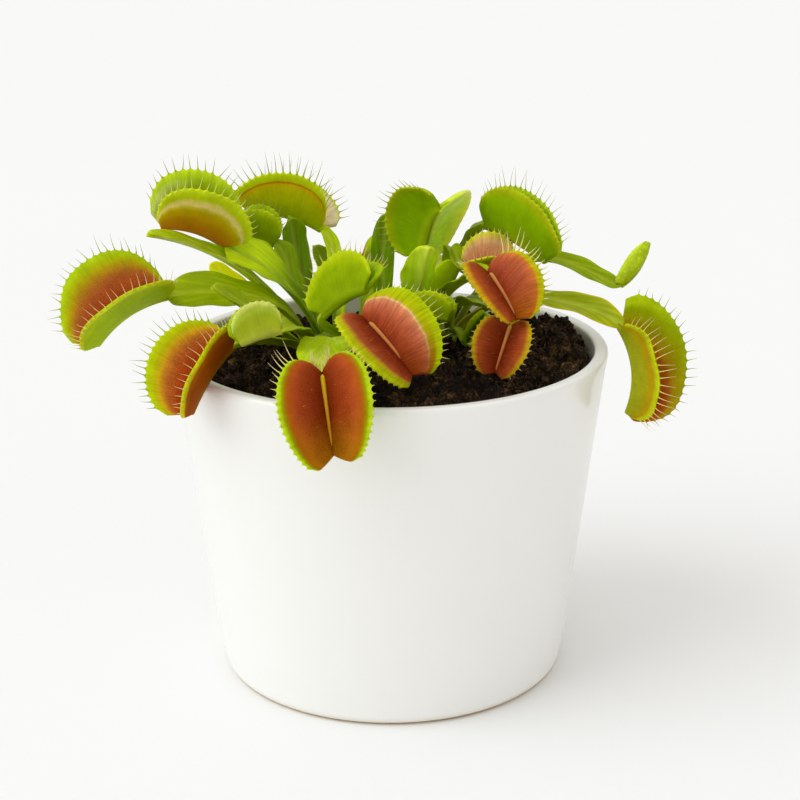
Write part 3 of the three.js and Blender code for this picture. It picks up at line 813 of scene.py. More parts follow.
class MeshDraft:
    """A piece in the making: points in millimetres, faces with a finish each, and measures of each point.

    The measures are what the finishes are laid out by: share is how far a point is from the midrib to the
    edge (0 to 1), along is how far it is from the root to the tip (0 to 1), and run_mm and rise_mm are
    how far it is along the midrib and away from it, in millimetres.
    """

    # How much of a hair's radius its taper takes off, how much its root is swollen and over which share
    TAPER: ClassVar[float] = 0.86
    SWELLING: ClassVar[float] = 0.7
    SWELLING_REACH: ClassVar[float] = 0.07

    def __init__(self) -> None:
        """Starts with no points."""
        self.points: list[Array] = []
        self.faces: list[Array] = []
        self.finishes: list[Array] = []
        self.measures: dict[str, list[Array]] = {name: [] for name in MEASURES}
        self.size = 0

    def add(
        self, points: Array, faces: Sequence[tuple[Array, Array | int]], **measures: Array | float
    ) -> None:
        """Adds a part.

        Args:
            points: its points, in millimetres.
            faces: groups of faces with as many corners each, with the number of the group's finish or one
                number for each face.
            **measures: some of MEASURES, one value for each point or one for all.
        """
        points = points.reshape(-1, 3)
        for group, finish in faces:
            self.faces.append(group + self.size)
            self.finishes.append(np.zeros(len(group), np.int32) + finish)
        for name, kept in self.measures.items():
            value = np.asarray(measures.get(name, 0.0), float).reshape(-1)
            kept.append(np.broadcast_to(value, (len(points),)) if value.size == 1 else value)
        self.points.append(points)
        self.size += len(points)

    def add_bristles(
        self,
        finish: int,
        roots: Array,
        leans: Array,
        bends: Array,
        lengths: Array,
        radius: float,
        sides: int = 5,
        rings: int = 7,
    ) -> None:
        """Adds curved hairs that taper from a swollen root to a fine tip, each one closed.

        Args:
            finish: the number of their finish.
            roots: where each hair starts.
            leans: the unit direction of each at its root.
            bends: how far the tip of each is carried off that line, as a share of its length.
            lengths: the length of each.
            radius: the radius near the root.
            sides: how many sides a hair has.
            rings: how many rings a hair has.
        """
        s = np.linspace(0, 1, rings) ** 1.4
        reach = s[None, :, None] * leans[:, None] + (s**2)[None, :, None] * bends[:, None]
        centres = roots[:, None] + lengths[:, None, None] * reach
        steep = np.abs(leans[:, 2:]) > 0.8
        first = unit(np.cross(leans, np.where(steep, [[1.0, 0, 0]], [[0, 0, 1.0]])))
        swelling = self.SWELLING * np.exp(-s / self.SWELLING_REACH)
        widths = radius * (1 - self.TAPER * s**0.8 + swelling)
        around_each = spokes(sides, first, np.cross(leans, first))[:, None]
        shells = centres[:, :, None] + widths[None, :, None, None] * around_each
        tips = centres[:, -1] + 0.03 * lengths[:, None] * leans
        points = np.concatenate([shells.reshape(len(roots), -1, 3), roots[:, None], tips[:, None]], axis=1)
        shift = (np.arange(len(roots)) * points.shape[1])[:, None, None]
        faces = [
            ((group[None, :, ::-1] + shift).reshape(-1, group.shape[1]), finish)
            for group in skin_faces(rings, sides)
        ]
        along = np.tile(np.concatenate([np.repeat(s, sides), [0.0, 1.0]]), len(roots))
        self.add(points, faces, along=along)

    def piece(self, name: str, looks: Sequence[Finish | Enum], smooth: bool = True) -> bpy.types.Object:
        """Makes the object.

        Args:
            name: the name of the piece.
            looks: its finishes, or the options that stand for them, in the order of their numbers.
            smooth: whether it is smooth shaded, as all but the crumbs are.

        Returns:
            The new object, in metres.
        """
        mesh = bpy.data.meshes.new(name)
        faces = [face for group in self.faces for face in group.tolist()]
        mesh.from_pydata(np.concatenate(self.points) * MM, [], faces)
        for look in looks:
            finish = look.value if isinstance(look, Enum) else look
            mesh.materials.append(finish.material())
        mesh.polygons.foreach_set("material_index", np.concatenate(self.finishes))
        mesh.polygons.foreach_set("use_smooth", np.full(len(faces), smooth))
        for measure, kept in self.measures.items():
            layer = mesh.attributes.new(measure, "FLOAT", "POINT")
            layer.data.foreach_set("value", np.concatenate(kept).astype(np.float32))
        mesh.update()
        obj = bpy.data.objects.new(name, mesh)
        bpy.context.scene.collection.objects.link(obj)
        return obj


def closed_sheet(upper: Array, under: Array) -> tuple[Array, Array, Array, list[Array]]:
    """A closed skin over an upper and an under grid that meet along their first and last columns.

    Args:
        upper: points by row and column.
        under: as many points on the other face.

    Returns:
        The points, the upper quads, the under quads and the faces that close the two ends.
    """
    rows, columns = upper.shape[:2]
    ring = 2 * columns - 2
    points = np.concatenate([upper, under[:, -2:0:-1]], axis=1).reshape(-1, 3)
    quads = ring_quads(rows, ring).reshape(rows - 1, ring, 4)
    j = np.arange(1, columns - 2)
    start = np.stack([j, j + 1, ring - j - 1, ring - j], axis=-1)
    corners = np.array([[0, 1, ring - 1], [columns - 2, columns - 1, columns]])
    last = (rows - 1) * ring
    ends = [start, start[:, ::-1] + last, corners, corners[:, ::-1] + last]
    return points, quads[:, : columns - 1].reshape(-1, 4), quads[:, columns - 1 :].reshape(-1, 4), ends


def around(measure: Array) -> Array:
    """A measure given by row and column, in the order of closed_sheet's points."""
    return np.concatenate([measure, measure[:, -2:0:-1]], axis=1).reshape(-1)


def ripple(
    rng: np.random.Generator,
    side: Array,
    t: Array,
    slow: tuple[float, float],
    fast: tuple[float, float],
    share: float,
) -> Array:
    """The waves of a grown edge: slow ones with faster, lower ones on them, other ones on each side.

    Args:
        rng: the source of random draws.
        side: which side each point is on, by its sign.
        t: how far each point is along the edge, 0 to 1.
        slow: the slow waves' radians over the whole length, on the side below 0 and on the other.
        fast: the fast waves' radians in the same way.
        share: how high the fast waves are, as a share of the slow ones.

    Returns:
        The height of the waves at each point.
    """
    phases = rng.uniform(0, 2 * math.pi, 4)
    broad = np.where(side < 0, np.sin(slow[0] * t + phases[0]), np.sin(slow[1] * t + phases[1]))
    narrow = np.where(side < 0, np.sin(fast[0] * t + phases[2]), np.sin(fast[1] * t + phases[3]))
    return broad + share * narrow


def settle(piece: bpy.types.Object, slot: str, *nodes: str) -> None:
    """Puts a finished piece on the body.

    Args:
        piece: the piece.
        slot: the name of a material slot, which is not used.
        *nodes: the nodes of the frame that it stands for.
    """
    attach(piece, BODY)
    if nodes:
        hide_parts(*nodes)
    log.info("%s: %d points", piece.name, len(piece.data.vertices))


# The pot


@dataclass
class Pot:
    """The tapered pot with its rounded rim, its shallow foot ring and its bare foot line."""

    top_radius: float = 55.0
    base_radius: float = 44.4
    height: float = 85.0
    wall: float = 3.6
    floor: float = 5.0
    lip_squareness: float = 0.6
    base_corner: float = 3.2
    foot_recess: float = 0.8
    foot_radius: float = 36.0
    foot_line: float = 0.75
    # the share of painted warm shade on the inner wall
    painted_inner_shade: float = 0.5
    thin_foot: float = 0.6
    thin_reach: float = 3.0
    out_of_round: float = 0.0009
    sides: int = 192

    def radius(self, z: Array | float) -> Array | float:
        """The outer radius at a height."""
        return self.base_radius + (self.top_radius - self.base_radius) * z / self.height

    def profile(self) -> Array:
        """Draws the turned outline, from the middle of the underside over the rim to the middle of the floor.

        Returns:
            Its points, as (radius, height) rows.
        """
        lip, corner, foot, recess = self.wall / 2, self.base_corner, self.foot_radius, self.foot_recess
        outline = [(0, recess), (foot - 2, recess), (foot - 0.6, 0.7 * recess), (foot, 0.1), (foot + 0.7, 0)]
        for a in np.radians(np.linspace(-90, 0, 12)):
            outline.append((self.base_radius - corner + corner * math.cos(a), corner + corner * math.sin(a)))
        shoulder = self.height - lip - 3
        outline += [(self.radius(z), z) for z in np.linspace(8, shoulder, 18)]
        rim = self.radius(self.height) - lip
        for a in np.radians(np.linspace(4, 176, 25)):
            out = math.copysign(abs(math.cos(a)) ** self.lip_squareness, math.cos(a))
            outline.append((rim + lip * out, self.height - lip + lip * math.sin(a) ** self.lip_squareness))
        outline += [(self.radius(z) - self.wall, z) for z in np.linspace(shoulder, self.floor + 4, 14)]
        low, floor = self.radius(self.floor) - self.wall, self.floor
        outline += [(low - 0.2, floor + 1.6), (low - 1.4, floor + 0.3), (low - 4, floor), (0, floor)]
        return np.array(outline)

    def build(self) -> None:
        """Turns the profile and dresses it, with the share measure where the glaze ran thin near the foot and
        where the inner wall has painted shade.
        """
        outline = self.profile()
        heights = outline[1:-1, 1:]
        wall = turned(outline[1:-1, :1], heights, self.sides)
        # hand turning leaves the wall a few hundredths of a millimetre off round
        swell = 1 + self.out_of_round * np.sin(2 * circle(self.sides) + 0.6) * ease(heights, 3, 30)
        wall[..., :2] *= swell[..., None]
        points = np.concatenate([wall.reshape(-1, 3), [[0, 0, outline[0, 1]], [0, 0, outline[-1, 1]]]])
        quads, under, inside = (group[:, ::-1] for group in skin_faces(len(wall), self.sides))
        z = points[:, 2]
        low = z[quads].max(axis=1) <= self.foot_line
        bare = low & (np.arange(len(quads)) < len(quads) // 2)
        inner = np.hypot(points[:, 0], points[:, 1]) < self.radius(z) - 0.8 * self.wall
        near_foot = 1 - ease(z, self.foot_line, self.thin_reach)
        # inside the pot the share paints a warm shade on the wall; near the foot it is where the glaze ran
        # thin
        thin = np.where(inner, self.painted_inner_shade, self.thin_foot * near_foot)
        draft = MeshDraft()
        draft.add(points, [(quads[~bare], 0), (quads[bare], 1), (under, 1), (inside, 0)], share=thin)
        settle(draft.piece("glazed_pot", [GlazedEarthenware(), BareEarthenware()]), "glaze", "pot")


# The growing medium


@dataclass
class PeatBed:
    """The peat: a plug with a crumbly top, loose crumbs on it and fibres that stick out of it.

    A heap is given by its place across and in depth, its rise and its reach. The top is made of clods: domes
    that stand out of it, with grain and pits over them.
    """

    pot: Pot
    edge_level: float = 79.5
    mound: float = 2.5
    heaps: tuple[tuple[float, ...], ...] = ((42.0, 14.0, 4.2, 14.0), (45.0, -8.0, 3.2, 10.0))
    heap_share: float = 0.22
    heap_scatter: float = 8.0
    heap_shift: tuple[float, float] = (4.0, 0.0)
    lump: float = 0.9
    gap: float = 0.3
    middle_height: float = 40.0
    rings: int = 128
    sectors: int = 460
    clods: int = 1500
    clod_radius: tuple[float, float] = (1.0, 2.9)
    clod_rise: float = 0.45
    clod_sink: float = 0.85
    grain_rise: float = 1.6
    pit_depth: float = 1.3
    crumbs: int = 2000
    crumb_radius: float = 0.3
    crumb_growth: float = 1.3
    crumb_stretch: tuple[float, float] = (0.45, 1.35)
    crumb_margin: float = 2.0
    fibres: int = 900
    fibre_length: tuple[float, float] = (1.2, 4.2)
    fibre_climb: tuple[float, float] = (2.0, 62.0)
    fibre_radius: float = 0.17
    fibre_bend: float = 0.35
    fibre_droop: float = 0.32
    fibre_margin: float = 7.0
    rng: np.random.Generator = field(init=False)
    tree: kdtree.KDTree = field(init=False)
    radii: Array = field(init=False)

    def __post_init__(self) -> None:
        """Scatters the clods, with a tree to look up the nearest ones."""
        self.rng = np.random.default_rng(SEED)
        places = self.scatter(self.edge(self.edge_level), self.clods)
        self.radii = self.rng.uniform(*self.clod_radius, self.clods)
        self.tree = kdtree.KDTree(self.clods)
        for number, place in enumerate(places):
            self.tree.insert((*place, 0), number)
        self.tree.balance()

    def scatter(self, reach: float, count: int) -> Array:
        """Draws random places, evenly spread over a disc.

        Args:
            reach: the radius of the disc.
            count: how many places.

        Returns:
            The places, as (x, y) rows.
        """
        distance = reach * np.sqrt(self.rng.uniform(0, 1, count))
        turn = self.rng.uniform(0, 2 * math.pi, count)
        return np.stack([distance * np.cos(turn), distance * np.sin(turn)], axis=-1)

    def edge(self, z: Array | float) -> Array | float:
        """The radius of the plug at a height."""
        return self.pot.radius(z) - self.pot.wall - self.gap

    def level(self, x: Array, y: Array) -> Array:
        """The smooth height of the bed, as in the frame.

        Args:
            x: places across.
            y: places in depth.

        Returns:
            The heights.
        """
        share = np.minimum(1, np.hypot(x, y) / (self.pot.top_radius - self.pot.wall))
        waves = np.sin(0.31 * x + 1.3) * np.cos(0.27 * y - 0.4)
        waves = waves + 0.7 * np.sin(0.53 * x - 0.38 * y + 2.1) + 0.5 * np.cos(0.81 * y + 0.44 * x)
        heaped = 0.0
        for heap_x, heap_y, rise, reach in self.heaps:
            heaped = heaped + rise * np.exp(-((x - heap_x) ** 2 + (y - heap_y) ** 2) / reach**2)
        return self.edge_level + self.mound * (1 - share**2) + heaped + self.lump * waves

    def top(self, x: Array, y: Array) -> Array:
        """The crumbly height of the bed at each place.

        Args:
            x: places across.
            y: places in depth.

        Returns:
            The heights.
        """
        heights = np.zeros(x.size)
        for number, (px, py) in enumerate(zip(x.ravel(), y.ravel(), strict=True)):
            near = self.tree.find_n((px, py, 0), 5)
            domes = [math.sqrt(max(0.0, 1 - (d / self.radii[i]) ** 2)) * self.radii[i] for _, i, d in near]
            grain = noise.fractal(Vector((px, py, 0)) * 0.5, 0.45, 2.2, 6)
            pits = noise.noise(Vector((px, py, 7)) * 0.28)
            rough = self.grain_rise * grain + self.pit_depth * pits
            heights[number] = self.clod_rise * max(domes) - self.clod_sink + rough
        return self.level(x, y) + heights.reshape(x.shape)

    def build(self) -> None:
        """Makes the bed, its crumbs and its fibres."""
        reach = self.edge(self.edge_level - 1)
        spread = reach * (np.arange(1, self.rings + 1) / self.rings) ** 0.9
        top = turned(spread[:, None], 0.0, self.sectors)
        top[..., 2] = self.top(top[..., 0], top[..., 1])
        bottom = self.pot.floor + self.gap
        low = np.array([self.edge_level - 8, self.middle_height, bottom])[:, None]
        rings = np.concatenate([top, turned(self.edge(low), low, self.sectors)])
        middle = self.top(np.zeros(1), np.zeros(1))[0]
        points = np.concatenate([rings.reshape(-1, 3), [[0, 0, middle], [0, 0, bottom]]])
        draft = MeshDraft()
        draft.add(points, [(group, 0) for group in skin_faces(len(rings), self.sectors)])
        settle(draft.piece("peat_bed", [Earth.BED]), "peat", "peat")
        self.scatter_crumbs()
        self.scatter_fibres()

    def spots(self, count: int, margin: float) -> Array:
        """Draws random places on the bed, denser on the heaps and clear of the pot's wall.

        Args:
            count: how many places.
            margin: how far they stay from the wall, in millimetres.

        Returns:
            The points where they touch the bed.
        """
        limit = self.edge(self.edge_level) - margin
        places = self.scatter(limit, count)
        share = self.rng.uniform(0, 1, count)
        for number, heap in enumerate(self.heaps):
            heaped = (share > self.heap_share * number) & (share < self.heap_share * (number + 1))
            drift = self.rng.normal(0, self.heap_scatter, (int(heaped.sum()), 2))
            places[heaped] = np.array(heap[:2]) - self.heap_shift + drift
        places = places / np.maximum(1, np.hypot(places[:, 0], places[:, 1]) / limit)[:, None]
        return np.column_stack([places, self.top(places[:, 0], places[:, 1])])

    def scatter_crumbs(self) -> None:
        """Lays loose crumbs on the bed: rough balls, most of them small, each stretched its own way."""
        shape, triangles = crumb_ball()
        draft = MeshDraft()
        for spot in self.spots(self.crumbs, self.crumb_margin):
            size = self.crumb_radius + self.crumb_growth * self.rng.uniform(0, 1) ** 2.4
            stretch = self.rng.uniform(*self.crumb_stretch, 3)
            drift = Vector(self.rng.uniform(-50, 50, 3))
            rough = np.array([1 + 0.9 * noise.noise(Vector(p) * 1.9 + drift) for p in shape])
            angle = self.rng.uniform(0, 6.28)
            turn = Matrix.Rotation(angle, 3, unit(self.rng.normal(0, 1, 3)))
            points = (shape * rough[:, None] * stretch * size) @ np.array(turn).T
            draft.add(points + spot + [0, 0, 0.25 * size], [(triangles, 0)])
        settle(draft.piece("peat_crumbs", [Earth.CRUMB], smooth=False), "peat")

    def scatter_fibres(self) -> None:
        """Lays root fibres and moss stems on the bed, some with an end in the air."""
        roots = self.spots(self.fibres, self.fibre_margin) - [0, 0, 0.4]
        turns = self.rng.uniform(0, 360, self.fibres)
        climbs = self.rng.uniform(*self.fibre_climb, self.fibres)
        leans = np.array([bearing(a, e) for a, e in zip(turns, climbs, strict=True)])
        bends = unit(self.rng.normal(0, 1, (self.fibres, 3))) * self.fibre_bend - [0, 0, self.fibre_droop]
        lengths = self.rng.uniform(*self.fibre_length, self.fibres)
        draft = MeshDraft()
        draft.add_bristles(0, roots, leans, bends, lengths, self.fibre_radius, 4, 5)
        settle(draft.piece("peat_fibres", [Earth.FIBRE]), "peat")


def crumb_ball() -> tuple[Array, Array]:
    """Cuts each face of an icosahedron in four and pushes the new points out to a ball.

    Returns:
        The 42 points and the 80 triangles.
    """
    g = (1 + 5**0.5) / 2
    corners = [(-1, g, 0), (1, g, 0), (-1, -g, 0), (1, -g, 0), (0, -1, g), (0, 1, g)]
    corners += [(0, -1, -g), (0, 1, -g), (g, 0, -1), (g, 0, 1), (-g, 0, -1), (-g, 0, 1)]
    points = [unit(np.array(p, float)) for p in corners]
    faces = [(0, 11, 5), (0, 5, 1), (0, 1, 7), (0, 7, 10), (0, 10, 11), (1, 5, 9), (5, 11, 4), (11, 10, 2)]
    faces += [(10, 7, 6), (7, 1, 8), (3, 9, 4), (3, 4, 2), (3, 2, 6), (3, 6, 8), (3, 8, 9), (4, 9, 5)]
    faces += [(2, 4, 11), (6, 2, 10), (8, 6, 7), (9, 8, 1)]
    middles: dict[tuple[int, int], int] = {}
    cut = []
    for a, b, c in faces:
        mids = []
        for edge in ((a, b), (b, c), (c, a)):
            key = (min(edge), max(edge))
            if key not in middles:
                points.append(unit(points[edge[0]] + points[edge[1]]))
                middles[key] = len(points) - 1
            mids.append(middles[key])
        ab, bc, ca = mids
        cut += [(a, ab, ca), (b, bc, ab), (c, ca, bc), (ab, bc, ca)]
    return np.array(points), np.array(cut)


# The rhizomes


@dataclass
class Rhizome:
    """One short stem: a pale dome that carries the leaves, with the scars and scales of old leaf bases."""

    name: str
    place: tuple[float, float]
    radius: float = 10.0
    dome_top: float = 87.5
    shoulder: float = 83.5
    bottom: float = 64.0
    tip_radius: float = 4.0
    scale_depth: float = 0.35
    scales: float = 4.5
    sides: int = 96

    def dome(self, distance: Array | float) -> Array | float:
        """The height of the dome at a distance from its middle."""
        share = np.minimum(1, np.asarray(distance) / self.radius)
        return self.shoulder + (self.dome_top - self.shoulder) * (1 - share**2)

    def build(self) -> None:
        """Turns the stem and roughens it with old leaf bases."""
        outline = [(self.radius * s, float(self.dome(self.radius * s))) for s in np.linspace(0.04, 1, 16)]
        outline += [(self.radius, self.shoulder - 3), (self.radius, self.shoulder - 6)]
        outline += [(self.tip_radius + 2.5, self.bottom + 6), (self.tip_radius, self.bottom)]
        reach, heights = np.array(outline).T[..., None]
        twist = self.scales * circle(self.sides) + 2.3 * reach / self.radius
        dents = self.scale_depth * np.abs(np.sin(twist))
        rings = turned(reach - dents * ease(reach, 1, 6), heights - 0.5 * dents, self.sides)
        ends = [[0, 0, self.dome_top - 0.1], [0, 0, self.bottom]]
        points = np.concatenate([rings.reshape(-1, 3), ends]) + [*self.place, 0]
        rise = np.append(np.repeat(reach, self.sides), [0, 0])
        faces = [(group, 0) for group in skin_faces(len(rings), self.sides)]
        draft = MeshDraft()
        draft.add(points, faces, share=rise / self.radius, along=0.1, rise_mm=rise)
        settle(draft.piece(f"{self.name}_stem", [Blade.MEADOW]), "rhizome", self.name)


# The leaves


@dataclass(frozen=True)
class TrapPlan:
    """The trap of one leaf: its size, where it points, how wide it gapes, its cilia and its colours.

    hinge and mouth are [azimuth, elevation]. gape is the angle between a lobe and the mouth's axis at the
    hinge and at the margin, arch is how far the hinge bends, and skew shifts the lobes along it. heel and toe
    draw the lobes in at the stalk's end and at the far end, over a share end_reach of the hinge. overhang is
    how far the margins reach past the hinge's ends, and spread scales a lobe's height. Pairs of values are
    for the lobe on side -1 and the one on side 1: spine is the length of the cilia, tuft is what those near
    the stalk have on top of it, and curl is how far they bend over the mouth. notch is the length of the
    cilia where the lobes meet, and ridge_span gives the shares of the hinge that the ridge runs between.
    """

    length: float
    height: float
    hinge: tuple[float, float]
    mouth: tuple[float, float]
    gape: tuple[float, float]
    arch: float
    inside: tuple[Pad, Pad]
    outside: tuple[Skin, Skin]
    spine: tuple[float, float]
    cilia: tuple[Cilia, Cilia] = (Cilia.SAGE, Cilia.SAGE)
    skew: float | tuple[float, float] = 0.0
    heel: float | tuple[float, float] = 0.0
    toe: float | tuple[float, float] = 0.0
    overhang: float | tuple[float, float] = 0.16
    spread: float | tuple[float, float] = 1.0
    end_reach: float = 0.25
    tuft: tuple[float, float] = (0.0, 0.0)
    curl: tuple[float, float] = (0.2, 0.2)
    tooth: float = 0.7
    notch: float = 0.0
    bristle: float = 0.15
    ridge: Ridge | None = None
    ridge_radius: float = 0.62
    ridge_span: tuple[float, float] = (0.0, 0.985)


@dataclass(frozen=True)
class LeafPlan:
    """One leaf, with a trap or without.

    crown is the rhizome that it grows from, and root the azimuth and the distance from that one's middle.
    bow and joint are the middle and the end of its stalk. blade is the greatest width, fold is how far the
    two sides are folded up, and bank how far the blade is turned about its line at the end, in degrees.
    """

    name: str
    crown: str
    root: tuple[float, float]
    bow: tuple[float, float, float]
    joint: tuple[float, float, float]
    blade: float
    fold: float
    bank: float
    green: Blade
    trap: TrapPlan | None = None


@dataclass
class Stalk:
    """The winged stalk of a leaf: a folded, slightly wavy blade with a rib under it and a groove over it."""

    draft: MeshDraft
    plan: LeafPlan
    root: Array
    rng: np.random.Generator
    root_width: float = 3.2
    root_share: float = 0.5
    neck_width: float = 1.9
    tip_width: float = 0.3
    widest_at: float = 0.68
    edge_thickness: float = 0.62
    rib_thickness: float = 1.7
    rib_reach: float = 0.95
    groove_depth: float = 0.22
    groove_reach: float = 0.5
    crimp: float = 0.05
    widest_crimped: float = 9.0
    neck_reach: float = 5.0
    steps: int = 60
    columns: int = 25

    def controls(self) -> Array:
        """Works out the control points of the stalk's curve.

        Returns:
            Three points for a leaf without a trap, four for one with a trap.
        """
        joint, bow = np.array(self.plan.joint), np.array(self.plan.bow)
        if self.plan.trap is None:
            return np.array([self.root, 2 * bow - self.root / 2 - joint / 2, joint])
        arrive = joint - self.neck_reach * bearing(*self.plan.trap.hinge)
        leave = (8 * bow - self.root - 3 * arrive - joint) / 3
        return np.array([self.root, leave, arrive, joint])

    def curve(self, t: Array) -> Array:
        """Follows the stalk's centre line.

        Args:
            t: how far along it, 0 to 1.

        Returns:
            The points.
        """
        points = self.controls()
        order = len(points) - 1
        weights = [math.comb(order, k) * t**k * (1 - t) ** (order - k) for k in range(order + 1)]
        return np.stack(weights, axis=-1) @ points

    def width(self, t: Array) -> Array:
        """Gives the blade's width along the stalk.

        Args:
            t: how far along it, 0 to 1.

        Returns:
            The widths.
        """
        end = self.neck_width if self.plan.trap else self.tip_width
        root = min(self.root_width, self.plan.blade * self.root_share)
        s = np.clip((t - self.widest_at) / (1 - self.widest_at), 0, 1)
        rising = root + (self.plan.blade - root) * ease(t, 0, self.widest_at)
        share = 1 - s**2 if self.plan.trap else np.sqrt(np.maximum(0, 1 - s**2.2))
        return np.where(t < self.widest_at, rising, end + (self.plan.blade - end) * share)

    def build(self) -> None:
        """Adds the stalk to the leaf's mesh, with finish 0."""
        t = np.linspace(0, 1, self.steps)[:, None] ** 0.92
        centre, tangent = self.curve(t[:, 0]), unit(self.curve(t[:, 0] + 1e-4) - self.curve(t[:, 0] - 1e-4))
        start, end = self.curve(np.array([0.0, 1.0]))
        chord = math.atan2(end[1] - start[1], end[0] - start[0])
        level = np.array([-math.sin(chord), math.cos(chord), 0.0])
        bank = math.radians(self.plan.bank) * t[:, 0]
        side = turn_about(square_to(level + 0 * tangent, tangent), tangent, bank)
        face = np.cross(tangent, side)
        half = self.width(t) / 2
        y = np.sin(np.linspace(-math.pi / 2, math.pi / 2, self.columns))[None, :]
        away = np.abs(y)
        fold = math.radians(self.plan.fold)
        waves = ripple(self.rng, y, t, (17, 15), (31, 35), 0.5)
        depth = self.crimp * np.minimum(self.plan.blade, self.widest_crimped)
        lift = half * math.sin(fold) * away**1.25 + depth * waves * away**3 * ease(half, 1.2, 3.0)
        reach = half * math.cos(fold) * y
        rounding = np.sqrt(np.maximum(0, 1 - away**5))
        rib = np.exp(-((away * half / self.rib_reach) ** 2))
        groove = self.groove_depth * np.exp(-((away * half / self.groove_reach) ** 2)) * ease(half, 1.1, 2.2)
        over = (0.5 * self.edge_thickness * rounding - groove) * rounding
        under = (0.5 * self.edge_thickness + (self.rib_thickness - self.edge_thickness) * rib) * rounding
        plane = centre[:, None] + side[:, None] * reach[..., None]
        upper = plane + face[:, None] * (lift + over)[..., None]
        lower = plane + face[:, None] * (lift - under)[..., None]
        points, top, below, caps = closed_sheet(upper, lower)
        run = np.concatenate([[0], np.cumsum(np.linalg.norm(np.diff(centre, axis=0), axis=1))])[:, None]
        self.draft.add(
            points,
            [(group, 0) for group in (top, below, *caps)],
            share=around(away + 0 * half),
            along=around(t + 0 * y),
            run_mm=around(run + 0 * y),
            rise_mm=around(away * half),
        )


def by_side(value: float | tuple[float, float], w: Array) -> Array:
    """A trap's value at each point: some values are a pair, for the lobes on sides -1 and 1."""
    first, second = value if isinstance(value, tuple) else (value, value)
    return np.where(w < 0, first, second)


